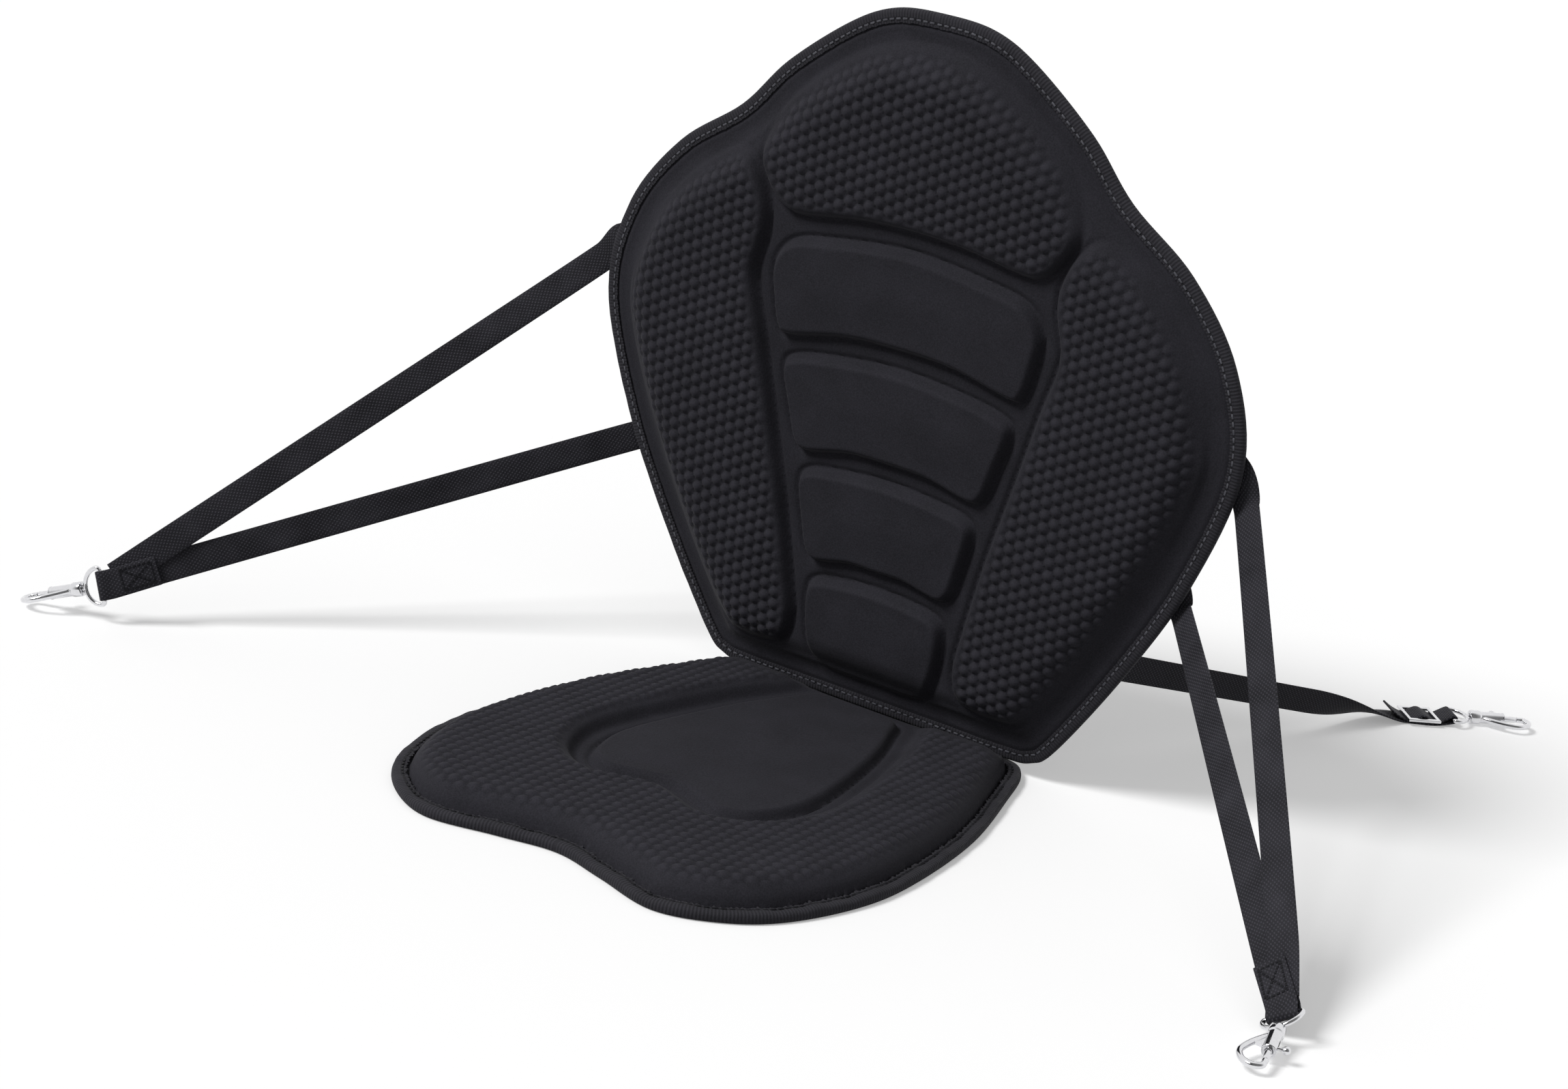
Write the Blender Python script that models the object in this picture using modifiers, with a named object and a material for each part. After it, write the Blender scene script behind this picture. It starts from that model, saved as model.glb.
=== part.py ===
"""Padded kayak seat: a moulded foam seat pad and a moulded foam back pad, joined at a
bound fold, with a harness of webbing straps that end in four swivel bolt snaps.

Metres, +Z up. The origin is the middle of the seat's flat underside, -Y is the front of the
seat and +X is the right-hand side as seen from the front.
"""
import math

import bmesh
import bpy
from mathutils import Matrix, Vector, geometry

MM = 0.001
CLEARANCE = 0.3 * MM

# Bound edge, the same tape on the seat and on the back
BINDING_THICKNESS = 7 * MM
BINDING_WIDTH = 9 * MM
BINDING_LIP = 1.2 * MM
BINDING_BITE = 6 * MM
BINDING_ROUNDING = 1.8 * MM

# Layers under the foam
LINING_THICKNESS = 1.2 * MM
BOARD_THICKNESS = 2 * MM
BOARD_MARGIN = 20 * MM

# Seat pad, heights measured from the floor
HINGE_SETBACK = 180 * MM
SEAT_SHOULDER_HEIGHT = 12 * MM
SEAT_PAD_HEIGHT = 22 * MM
SEAT_PANEL_HEIGHT = 15 * MM
SEAT_PAD_MARGIN = 16 * MM
GROOVE_WIDTH = 14 * MM
REAR_TAPER = 24 * MM
HINGE_STRIP_WIDTH = 160 * MM

# Back pad, heights measured from its rear face
BACK_LEAN = math.radians(5.3)
BACK_SHOULDER_HEIGHT = 16 * MM
BACK_PAD_HEIGHT = 24 * MM
BACK_SHOULDER_MARGIN = 17 * MM
PAD_CHAMFER = 3 * MM
SHOULDER_CHAMFER = 6 * MM

# Webbing
WEBBING_WIDTH = 20 * MM
WEBBING_THICKNESS = 1.4 * MM
ANCHOR_PATCH_LENGTH = 34 * MM
ANCHOR_PATCH_WIDTH = 26 * MM
FOLDED_END = 38 * MM
UPPER_SEAM_END = 47.5 * MM
PATCH_EXIT_SHARE = 0.65
STRAP_BEND = 12 * MM
STRAP_STAND_OFF = 6 * MM
TAIL = [(8 * MM, 3 * MM), (14 * MM, 7 * MM)]
TAIL_TOUCH = 3 * MM

# Swivel bolt snap, lengths measured along its axis from the strap bar
EYE_WIDTH = 28 * MM
EYE_WIRE = 3.2 * MM
EYE_LENGTH = 13 * MM
EYE_SQUARENESS = 0.8
STEM_DIAMETER = 4 * MM
STEM_HEAD_DIAMETER = 6.4 * MM
STEM_HEAD_LENGTH = 1.6 * MM
STEM_OVERLAP = 0.4 * MM
COLLAR_DIAMETER = 10 * MM
COLLAR_START = 15.2 * MM
COLLAR_END = 23 * MM
BARREL_DIAMETER = 8.4 * MM
BARREL_END = 41 * MM
BOLT_DIAMETER = 4.2 * MM
BOLT_CLEARANCE = 0.25 * MM
BOLT_TRAVEL = 5.5 * MM
BOLT_START = 34 * MM
BOLT_END = 50.8 * MM
KNOB_OFFSET = 1.6 * MM
KNOB_REACH = 9 * MM
KNOB_DIAMETER = 4.8 * MM
KNOB_NECK = 2.2 * MM
SPRING_WIRE = 0.6 * MM
SPRING_TURNS = 4
SPRING_FLOOR = 25.4 * MM
HOOK_WIRE = 4 * MM

# Adjuster slide on each rear strap
SLIDE_WIDTH = 28 * MM
SLIDE_BAR = 2.4 * MM
SLIDE_SLOT = 8.6 * MM
SLIDE_THICKNESS = 2 * MM
SLIDE_TO_EYE = 23 * MM

# Half outlines in millimetres from the middle of the top (or front) edge round to the
# middle of the bottom (or rear) edge: half width, then distance from the fold
BACK_OUTLINE = [(0, 480), (36, 477), (68, 462), (113, 427), (146, 391), (193, 356), (230, 306),
                (244, 241), (220, 159), (183, 86), (141, 19), (124, 4), (101, 1), (50, 1), (0, 1)]
HEAD_PAD = [(0, 460), (52, 447), (101, 409), (119, 372), (112, 349), (98, 335), (80, 333), (40, 339),
            (0, 341)]
SPINE_PADS = [
    [(0, 327), (60, 321), (89, 314), (102, 297), (100, 274), (95, 255), (85, 250), (41, 259), (0, 261)],
    [(0, 247), (50, 243), (80, 237), (88, 227), (81, 200), (75, 181), (64, 174), (30, 181), (0, 182)],
    [(0, 169), (41, 166), (61, 162), (68, 152), (63, 125), (58, 107), (48, 100), (21, 105), (0, 105)],
    [(0, 93), (31, 91), (48, 87), (54, 77), (53, 53), (46, 30), (30, 22), (0, 22)],
]
WING_PAD = [(138, 366), (121, 356), (111, 335), (110, 315), (116, 285), (106, 246), (92, 189),
            (78, 133), (68, 83), (64, 55), (72, 34), (98, 29), (122, 38), (152, 80), (193, 160),
            (217, 220), (220, 255), (200, 309), (169, 346)]
SEAT_OUTLINE = [(0, 352), (38, 361), (85, 373), (123, 355), (149, 322), (166, 266), (168, 209),
                (158, 128), (136, 49), (121, 7), (101, -4), (50, -4), (0, -4)]
SEAT_PANEL = [(0, 235), (26, 243), (45, 249), (64, 235), (75, 199), (71, 152), (57, 86), (42, 43),
              (34, 24), (20, 20), (0, 20)]

# Straps: places on the back pad's rear face (half width, height) and where each snap lies
UPPER_ANCHOR = (196 * MM, 266 * MM)
UPPER_EDGE = (249 * MM, 262 * MM)
LOWER_ANCHOR = (172 * MM, 138 * MM)
LOWER_EDGE = (227 * MM, 132 * MM)
REAR_ANCHOR = (88 * MM, 76 * MM)
LEFT_SNAP = (Vector((-0.434, -0.113, 0.026)), Vector((-0.053, -0.013, -0.021)), math.radians(96))
RIGHT_SNAP = (Vector((0.4185, -0.046, 0.014)), Vector((0.0165, -0.058, -0.0075)), math.radians(33))
REAR_SNAP_EYE = Vector((0.268, 0.541, 0.0058))
REAR_SNAP_AXIS = Vector((0.046, 0.043, 0.0))

# Hook arm in the plane of the knob, millimetres: away from the axis, then along it
ARM_PATH = [(-2.2, 24.5), (-7.5, 31), (-12.5, 39), (-15, 47), (-12.5, 54.5), (-6.5, 58.3), (-0.8, 56.5)]

OUTLINE_STEPS = 2
SWEEP_SIDES = 24


class Palette:
    """One Principled material for each kind of surface."""

    def __init__(self):
        self.foam = self.make("foam_fabric", (0.018, 0.018, 0.021), 0.85, 0.0)
        self.binding = self.make("binding_tape", (0.012, 0.012, 0.014), 0.8, 0.0)
        self.lining = self.make("lining_fabric", (0.02, 0.02, 0.022), 0.9, 0.0)
        self.board = self.make("stiffener_plastic", (0.03, 0.03, 0.03), 0.5, 0.0)
        self.webbing = self.make("webbing", (0.02, 0.02, 0.022), 0.75, 0.0)
        self.metal = self.make("plated_steel", (0.82, 0.82, 0.84), 0.15, 1.0)

    @staticmethod
    def make(name, colour, roughness, metallic):
        """A new material with the given base colour, roughness and metallic value."""
        material = bpy.data.materials.new(name)
        material.use_nodes = True
        shader = material.node_tree.nodes["Principled BSDF"]
        shader.inputs["Base Color"].default_value = (*colour, 1.0)
        shader.inputs["Roughness"].default_value = roughness
        shader.inputs["Metallic"].default_value = metallic
        return material


def new_collection(name):
    """A collection linked to the scene."""
    collection = bpy.data.collections.new(name)
    bpy.context.scene.collection.children.link(collection)
    return collection


def place(obj, collection, parent=None, material=None):
    """Put an object in a collection, under a parent, with a material."""
    for old in list(obj.users_collection):
        old.objects.unlink(obj)
    collection.objects.link(obj)
    obj.parent = parent
    if material is not None:
        obj.data.materials.clear()
        obj.data.materials.append(material)
    return obj


def make_cutter(obj, collection, parent=None):
    """Keep an object only as an operand of Boolean modifiers."""
    place(obj, collection, parent)
    obj.hide_render = True
    obj.display_type = "WIRE"
    return obj


def frame_at(name, collection, origin, rotation, parent=None):
    """An empty that carries a sub-assembly."""
    empty = bpy.data.objects.new(name, None)
    collection.objects.link(empty)
    empty.parent = parent
    empty.matrix_local = Matrix.Translation(origin) @ rotation.to_4x4()
    return empty


def curve_to_mesh(obj):
    """Turn a curve object into a mesh object with welded caps."""
    bpy.context.view_layer.update()
    evaluated = obj.evaluated_get(bpy.context.evaluated_depsgraph_get())
    mesh = bpy.data.meshes.new_from_object(evaluated)
    work = bmesh.new()
    work.from_mesh(mesh)
    bmesh.ops.remove_doubles(work, verts=work.verts, dist=0.01 * MM)
    bmesh.ops.recalc_face_normals(work, faces=work.faces)
    work.to_mesh(mesh)
    work.free()
    name, matrix = obj.name, obj.matrix_world.copy()
    bpy.data.objects.remove(obj)
    result = bpy.data.objects.new(name, mesh)
    result.matrix_world = matrix
    return result


def freeze(obj):
    """The object's mesh with its modifiers applied."""
    bpy.context.view_layer.update()
    evaluated = obj.evaluated_get(bpy.context.evaluated_depsgraph_get())
    return bpy.data.meshes.new_from_object(evaluated)


def smooth_path(points, closed, steps):
    """Points on a Catmull-Rom curve through the given points."""
    count = len(points)
    spans = count if closed else count - 1
    path = []
    for index in range(spans):
        if closed:
            before, start, end, after = (points[(index + k) % count] for k in (-1, 0, 1, 2))
        else:
            before, start = points[max(index - 1, 0)], points[index]
            end, after = points[index + 1], points[min(index + 2, count - 1)]
        for step in range(steps):
            t = step / steps
            path.append(0.5 * ((2 * start) + (end - before) * t
                               + (2 * before - 5 * start + 4 * end - after) * t ** 2
                               + (3 * start - before - 3 * end + after) * t ** 3))
    if not closed:
        path.append(points[-1].copy())
    return path


def whole_outline(half, forward=1.0):
    """A closed counter-clockwise outline from a half outline given in millimetres."""
    right = [Vector((x, forward * y)) * MM for x, y in half]
    left = [Vector((-x, forward * y)) * MM for x, y in reversed(half) if x > 0]
    path = smooth_path(right + left, True, OUTLINE_STEPS)
    return path if forward < 0 else path[::-1]


def closed_outline(points, side=1.0):
    """A closed outline on one side of the middle, given in millimetres."""
    return smooth_path([Vector((side * x, y)) * MM for x, y in points], True, OUTLINE_STEPS)


def inset(outline, distance):
    """The counter-clockwise outline moved inwards by a distance."""
    moved = []
    for index, point in enumerate(outline):
        along = outline[(index + 1) % len(outline)] - outline[index - 1]
        moved.append(point + Vector((-along.y, along.x)).normalized() * distance)
    return moved


def distance_to(point, outline):
    """The shortest distance from a point to a closed outline."""
    best = math.inf
    for index, end in enumerate(outline):
        nearest, share = geometry.intersect_point_line(point, outline[index - 1], end)
        if share < 0:
            nearest = outline[index - 1]
        elif share > 1:
            nearest = end
        best = min(best, (point - nearest.xy).length)
    return best


def trimmed_inset(outline, distance):
    """The inset outline without the loops that form at its tight corners."""
    limit = abs(distance) * 0.985
    return [point for point in inset(outline, distance) if distance_to(point, outline) >= limit]


def plate(name, outline, bottom, top, chamfer=0.0):
    """A flat slab with chamfered rims, made from a filled curve."""
    curve = bpy.data.curves.new(name, "CURVE")
    curve.dimensions = "2D"
    curve.fill_mode = "BOTH"
    curve.extrude = (top - bottom) / 2 - chamfer
    curve.bevel_depth = chamfer
    curve.bevel_resolution = 0
    curve.offset = -chamfer
    spline = curve.splines.new("POLY")
    spline.points.add(len(outline) - 1)
    for point, place_2d in zip(spline.points, outline):
        point.co = (place_2d.x, place_2d.y, 0.0, 1.0)
    spline.use_cyclic_u = True
    obj = bpy.data.objects.new(name, curve)
    bpy.context.scene.collection.objects.link(obj)
    obj.location.z = (top + bottom) / 2
    solid = curve_to_mesh(obj)
    return bake_matrix(solid)


def bake_matrix(obj):
    """Move an unparented object's place into its mesh."""
    obj.data.transform(obj.matrix_world)
    obj.matrix_world = Matrix.Identity(4)
    return obj


def tube(name, points, radius, closed=False, sides=2, radii=None):
    """A round tube along a path of points, as a mesh."""
    curve = bpy.data.curves.new(name, "CURVE")
    curve.dimensions = "3D"
    curve.bevel_depth = radius
    curve.bevel_resolution = sides
    curve.use_fill_caps = not closed
    spline = curve.splines.new("POLY")
    spline.points.add(len(points) - 1)
    for index, point in enumerate(spline.points):
        point.co = (*points[index], 1.0)
        point.radius = radii[index] if radii else 1.0
    spline.use_cyclic_u = closed
    obj = bpy.data.objects.new(name, curve)
    bpy.context.scene.collection.objects.link(obj)
    return curve_to_mesh(obj)


def cylinder(name, radius, start, end, sides=SWEEP_SIDES):
    """A cylinder along +Z between two heights."""
    mesh = bpy.data.meshes.new(name)
    work = bmesh.new()
    bmesh.ops.create_cone(work, cap_ends=True, segments=sides, radius1=radius, radius2=radius,
                          depth=end - start)
    bmesh.ops.translate(work, verts=work.verts, vec=(0, 0, (start + end) / 2))
    work.to_mesh(mesh)
    work.free()
    return bpy.data.objects.new(name, mesh)


def box(name, low, high):
    """A box between two corners."""
    mesh = bpy.data.meshes.new(name)
    work = bmesh.new()
    bmesh.ops.create_cube(work, size=1.0)
    size = high - low
    bmesh.ops.scale(work, verts=work.verts, vec=size)
    bmesh.ops.translate(work, verts=work.verts, vec=(low + high) / 2)
    work.to_mesh(mesh)
    work.free()
    return bpy.data.objects.new(name, mesh)


def boolean(obj, operand, operation):
    """Add an exact Boolean with one object or with a whole collection."""
    modifier = obj.modifiers.new(operation.title(), "BOOLEAN")
    modifier.operation = operation
    modifier.solver = "EXACT"
    if isinstance(operand, bpy.types.Collection):
        modifier.operand_type = "COLLECTION"
        modifier.collection = operand
    else:
        modifier.object = operand


def binding(name, outline):
    """A tape folded over the edge of the layers: a C section swept round the outline."""
    section = [(BINDING_ROUNDING, 0.0), (BINDING_WIDTH, 0.0), (BINDING_WIDTH, BINDING_LIP),
               (BINDING_WIDTH - BINDING_BITE, BINDING_LIP),
               (BINDING_WIDTH - BINDING_BITE, BINDING_THICKNESS - BINDING_LIP),
               (BINDING_WIDTH, BINDING_THICKNESS - BINDING_LIP), (BINDING_WIDTH, BINDING_THICKNESS),
               (BINDING_ROUNDING, BINDING_THICKNESS), (0.0, BINDING_THICKNESS - BINDING_ROUNDING),
               (0.0, BINDING_ROUNDING)]
    mesh = bpy.data.meshes.new(name)
    work = bmesh.new()
    rings = [[work.verts.new((p.x, p.y, height)) for p in inset(outline, depth)]
             for depth, height in section]
    for index, ring in enumerate(rings):
        following = rings[(index + 1) % len(rings)]
        for k in range(len(ring)):
            n = (k + 1) % len(ring)
            work.faces.new((ring[k], ring[n], following[n], following[k]))
    bmesh.ops.recalc_face_normals(work, faces=work.faces)
    work.to_mesh(mesh)
    work.free()
    return bpy.data.objects.new(name, mesh)


def ribbon(name, stations, thickness=WEBBING_THICKNESS):
    """Webbing through stations, each a centre and a vector across half the width."""
    mesh = bpy.data.meshes.new(name)
    work = bmesh.new()
    rows = [(work.verts.new(centre - across), work.verts.new(centre + across))
            for centre, across in stations]
    for first, second in zip(rows, rows[1:]):
        work.faces.new((first[0], first[1], second[1], second[0]))
    work.to_mesh(mesh)
    work.free()
    obj = bpy.data.objects.new(name, mesh)
    solid = obj.modifiers.new("Thickness", "SOLIDIFY")
    solid.thickness = thickness
    solid.offset = 0.0
    solid.use_even_offset = True
    return obj


class PaddedPanel:
    """A lining, an optional board, moulded foam and the tape that binds their edges."""

    def __init__(self, prefix, outline, model, cutters, frame, palette):
        self.prefix = prefix
        self.outline = outline
        self.model = model
        self.cutters = cutters
        self.frame = frame
        self.palette = palette

    def layers(self, lining_name):
        """The edge binding and the lining that closes the underside."""
        tape = binding(self.prefix + "_edge_binding", self.outline)
        place(tape, self.model, self.frame, self.palette.binding)
        lining = plate(lining_name, trimmed_inset(self.outline, BINDING_WIDTH + CLEARANCE), 0.0,
                       LINING_THICKNESS)
        place(lining, self.model, self.frame, self.palette.lining)

    def foam(self, raised, hollows=()):
        """The moulded foam: a thin flange held in the tape, with raised forms on it."""
        flange = plate(self.prefix + "_cushion",
                       trimmed_inset(self.outline, BINDING_WIDTH - BINDING_BITE + CLEARANCE),
                       LINING_THICKNESS + CLEARANCE, BINDING_THICKNESS - BINDING_LIP - CLEARANCE)
        place(flange, self.model, self.frame, self.palette.foam)
        forms = new_collection(self.prefix + "_raised_forms")
        for solid in raised:
            make_cutter(solid, forms, self.frame)
        boolean(flange, forms, "UNION")
        for solid in hollows:
            make_cutter(solid, self.cutters, self.frame)
            boolean(flange, solid, "DIFFERENCE")

    def board(self, name):
        """A stiffening board on the lining, and the pocket that it needs in the foam."""
        outline = trimmed_inset(self.outline, BOARD_MARGIN)
        low = LINING_THICKNESS + CLEARANCE
        solid = plate(name, outline, low, low + BOARD_THICKNESS)
        place(solid, self.model, self.frame, self.palette.board)
        return plate(name + "_pocket", trimmed_inset(self.outline, BOARD_MARGIN - CLEARANCE), -CLEARANCE,
                     low + BOARD_THICKNESS + CLEARANCE)


def build_seat(model, cutters, palette):
    """The seat pad: U-shaped bolster round a sunken centre panel."""
    frame = frame_at("seat_frame", model, Vector((0, HINGE_SETBACK, 0)), Matrix.Identity(3))
    outline = whole_outline(SEAT_OUTLINE, -1.0)
    panel = PaddedPanel("seat", outline, model, cutters, frame, palette)
    panel.layers("seat_underside_lining")
    pocket = panel.board("seat_base_board")
    rear = max(p.y for p in outline)
    shoulder = plate("seat_shoulder", trimmed_inset(outline, BINDING_WIDTH + PAD_CHAMFER),
                     LINING_THICKNESS + BOARD_THICKNESS + 3 * CLEARANCE, SEAT_SHOULDER_HEIGHT, PAD_CHAMFER)
    bolster = plate("seat_bolster", trimmed_inset(outline, BINDING_WIDTH + SEAT_PAD_MARGIN),
                    SEAT_SHOULDER_HEIGHT - 2 * PAD_CHAMFER, SEAT_PAD_HEIGHT, PAD_CHAMFER)
    panel_outline = whole_outline(SEAT_PANEL, -1.0)
    cut_floor = SEAT_SHOULDER_HEIGHT - PAD_CHAMFER
    groove = plate("seat_groove", trimmed_inset(panel_outline, -GROOVE_WIDTH), cut_floor,
                   SEAT_PAD_HEIGHT + PAD_CHAMFER)
    boolean(bolster, make_cutter(groove, cutters, frame), "DIFFERENCE")
    taper = box("seat_rear_taper", Vector((-1, rear - REAR_TAPER, cut_floor)),
                Vector((1, rear + REAR_TAPER, 2 * SEAT_PAD_HEIGHT)))
    boolean(bolster, make_cutter(taper, cutters, frame), "DIFFERENCE")
    centre = plate("seat_centre", panel_outline, LINING_THICKNESS + BOARD_THICKNESS + 3 * CLEARANCE,
                   SEAT_PANEL_HEIGHT, PAD_CHAMFER)
    panel.foam([shoulder, bolster, centre], [pocket])


def build_back(model, cutters, palette):
    """The back pad: head pad, two wing pads and four spine pads on a raised shoulder."""
    axis = Vector((0, HINGE_SETBACK, BINDING_THICKNESS + CLEARANCE))
    frame = frame_at("back_frame", model, axis, Matrix.Rotation(math.pi / 2 + BACK_LEAN, 3, "X"))
    rear_face = frame_at("back_rear_face", model, Vector((0, 0, -BINDING_THICKNESS / 2)),
                         Matrix.Identity(3), frame)
    outline = whole_outline(BACK_OUTLINE)
    panel = PaddedPanel("back", outline, model, cutters, rear_face, palette)
    panel.layers("back_rear_lining")
    pocket = panel.board("back_stiffener_board")
    shoulder = plate("back_shoulder", trimmed_inset(outline, BACK_SHOULDER_MARGIN),
                     LINING_THICKNESS + BOARD_THICKNESS + 3 * CLEARANCE, BACK_SHOULDER_HEIGHT,
                     SHOULDER_CHAMFER)
    low = BACK_SHOULDER_HEIGHT - 2 * PAD_CHAMFER
    pads = [plate("head_pad", whole_outline(HEAD_PAD), low, BACK_PAD_HEIGHT, PAD_CHAMFER)]
    for index, half in enumerate(SPINE_PADS, 1):
        pads.append(plate(f"spine_pad_{index}", whole_outline(half), low, BACK_PAD_HEIGHT, PAD_CHAMFER))
    for side, word in ((-1, "left"), (1, "right")):
        pads.append(plate(f"{word}_wing_pad", closed_outline(WING_PAD, side), low, BACK_PAD_HEIGHT,
                          PAD_CHAMFER))
    panel.foam([shoulder, *pads], [pocket])
    return rear_face


def build_hinge_strip(model, rear_face, palette):
    """A strip of tape over the rear of both bound edges, which lets the back fold forward."""
    bpy.context.view_layer.update()
    across = Vector((HINGE_STRIP_WIDTH / 2, 0, 0))
    stand_off = CLEARANCE + WEBBING_THICKNESS / 2
    seat_edge = HINGE_SETBACK + max(p.y for p in whole_outline(SEAT_OUTLINE, -1.0)) + stand_off
    on_back = [rear_face.matrix_world @ Vector((0, height, -stand_off))
               for height in (BINDING_ROUNDING, 2.5 * BINDING_WIDTH)]
    stations = [(Vector((0, seat_edge, BINDING_LIP)), across),
                (Vector((0, seat_edge, BINDING_THICKNESS - BINDING_ROUNDING)), across),
                (on_back[0], across), (on_back[1], across)]
    place(ribbon("hinge_strip", stations), model, None, palette.lining)


class BoltSnap:
    """A swivel bolt snap: eye, hook body, bolt with its thumb knob, and the bolt's spring."""

    def __init__(self, cutters, palette):
        self.cutters = cutters
        self.palette = palette
        self.eye = self.make_eye()
        self.body = self.make_body()
        self.bolt = self.make_bolt()
        self.spring = self.make_spring()

    def keep(self, obj):
        """Store an operand with the cutters."""
        return make_cutter(obj, self.cutters)

    def make_eye(self):
        """A D of wire for the strap, with a headed stem that turns in the collar."""
        reach = EYE_WIDTH / 2 - EYE_WIRE / 2
        arc = [Vector((reach * math.cos(a), 0, EYE_LENGTH * math.sin(a) ** EYE_SQUARENESS))
               for a in (math.pi * k / 10 for k in range(1, 10))]
        path = [Vector((-reach, 0, 0)), Vector((reach, 0, 0)), *arc]
        ring = tube("eye_ring", path, EYE_WIRE / 2, closed=True)
        place(ring, self.cutters)
        head_start = COLLAR_END - 2 * STEM_HEAD_LENGTH
        stem = cylinder("eye_stem", STEM_DIAMETER / 2, EYE_LENGTH - EYE_WIRE / 4,
                        head_start + STEM_OVERLAP, 12)
        head = cylinder("eye_stem_head", STEM_HEAD_DIAMETER / 2, head_start, head_start + STEM_HEAD_LENGTH,
                        12)
        for solid in (stem, head):
            boolean(ring, self.keep(solid), "UNION")
        mesh = freeze(ring)
        self.keep(ring)
        return mesh

    def make_body(self):
        """Collar, barrel and hook arm in one casting, bored for the stem and the bolt."""
        collar = cylinder("snap_collar", COLLAR_DIAMETER / 2, COLLAR_START, COLLAR_END, 20)
        place(collar, self.cutters)
        barrel = cylinder("snap_barrel", BARREL_DIAMETER / 2, COLLAR_END - STEM_HEAD_LENGTH, BARREL_END, 20)
        arm = self.make_arm()
        for solid in (barrel, arm):
            boolean(collar, self.keep(solid), "UNION")
        head_start = COLLAR_END - 2 * STEM_HEAD_LENGTH
        bores = [
            cylinder("stem_bore", STEM_DIAMETER / 2 + CLEARANCE, COLLAR_START - CLEARANCE,
                     head_start + CLEARANCE, 12),
            cylinder("stem_head_seat", STEM_HEAD_DIAMETER / 2 + CLEARANCE, head_start - CLEARANCE,
                     head_start + STEM_HEAD_LENGTH + CLEARANCE, 12),
            cylinder("bolt_bore", BOLT_DIAMETER / 2 + BOLT_CLEARANCE, SPRING_FLOOR - CLEARANCE,
                     BARREL_END + CLEARANCE, 16),
            self.slot_cutter(),
        ]
        for solid in bores:
            boolean(collar, self.keep(solid), "DIFFERENCE")
        mesh = freeze(collar)
        self.keep(collar)
        return mesh

    def make_arm(self):
        """The arm that leaves the barrel, sweeps out and comes back to meet the bolt."""
        tip = BOLT_END + CLEARANCE
        points = [Vector((x * MM, 0, z * MM)) for x, z in ARM_PATH]
        points.append(Vector((0, 0, tip)))
        path = smooth_path(points, False, 2)
        return tube("snap_arm", path, HOOK_WIRE / 2)

    def slot_cutter(self):
        """The slot in the barrel's side that the knob's neck runs in."""
        half = KNOB_NECK / 2 + CLEARANCE
        centre = BOLT_START + KNOB_OFFSET
        return box("knob_slot", Vector((0, -half, centre - BOLT_TRAVEL - half)),
                   Vector((BARREL_DIAMETER, half, centre + half)))

    def make_bolt(self):
        """The sliding bolt with the ball-ended knob that pulls it back."""
        bolt = cylinder("snap_bolt", BOLT_DIAMETER / 2, BOLT_START, BOLT_END, 16)
        place(bolt, self.cutters)
        turn = Matrix.Rotation(math.pi / 2, 4, "Y")
        neck = cylinder("knob_neck", KNOB_NECK / 2, BOLT_DIAMETER / 4, KNOB_REACH, 10)
        neck.data.transform(Matrix.Translation((0, 0, BOLT_START + KNOB_OFFSET)) @ turn)
        ball = bpy.data.objects.new("knob_ball", bpy.data.meshes.new("knob_ball"))
        work = bmesh.new()
        bmesh.ops.create_uvsphere(work, u_segments=12, v_segments=8, radius=KNOB_DIAMETER / 2)
        bmesh.ops.translate(work, verts=work.verts, vec=(KNOB_REACH, 0, BOLT_START + KNOB_OFFSET))
        work.to_mesh(ball.data)
        work.free()
        for solid in (neck, ball):
            boolean(bolt, self.keep(solid), "UNION")
        mesh = freeze(bolt)
        self.keep(bolt)
        return mesh

    def make_spring(self):
        """The coil spring between the barrel's floor and the bolt."""
        radius = BOLT_DIAMETER / 2 - SPRING_WIRE / 2
        start = SPRING_FLOOR + SPRING_WIRE / 2
        length = BOLT_START - CLEARANCE - SPRING_WIRE / 2 - start
        steps = 9 * SPRING_TURNS
        path = [Vector((radius * math.cos(math.tau * k / 9), radius * math.sin(math.tau * k / 9),
                        start + length * k / steps)) for k in range(steps + 1)]
        coil = tube("snap_spring", path, SPRING_WIRE / 2, sides=1)
        mesh = coil.data
        bpy.data.objects.remove(coil)
        return mesh

    def copy_to(self, prefix, model, origin, axis, across, swivel):
        """One snap in place: the eye lies across the strap and the hook turns about its axis."""
        axis = axis.normalized()
        across = (across - axis * across.dot(axis)).normalized()
        rotation = Matrix((across, axis.cross(across), axis)).transposed()
        frame = frame_at(prefix + "_snap_frame", model, origin, rotation)
        turned = frame_at(prefix + "_swivel_frame", model, Vector((0, 0, 0)),
                          Matrix.Rotation(swivel, 3, "Z"), frame)
        for name, mesh, parent in (("eye", self.eye, frame), ("body", self.body, turned),
                                   ("bolt", self.bolt, turned), ("spring", self.spring, turned)):
            place(bpy.data.objects.new(f"{prefix}_snap_{name}", mesh), model, parent, self.palette.metal)


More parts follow.
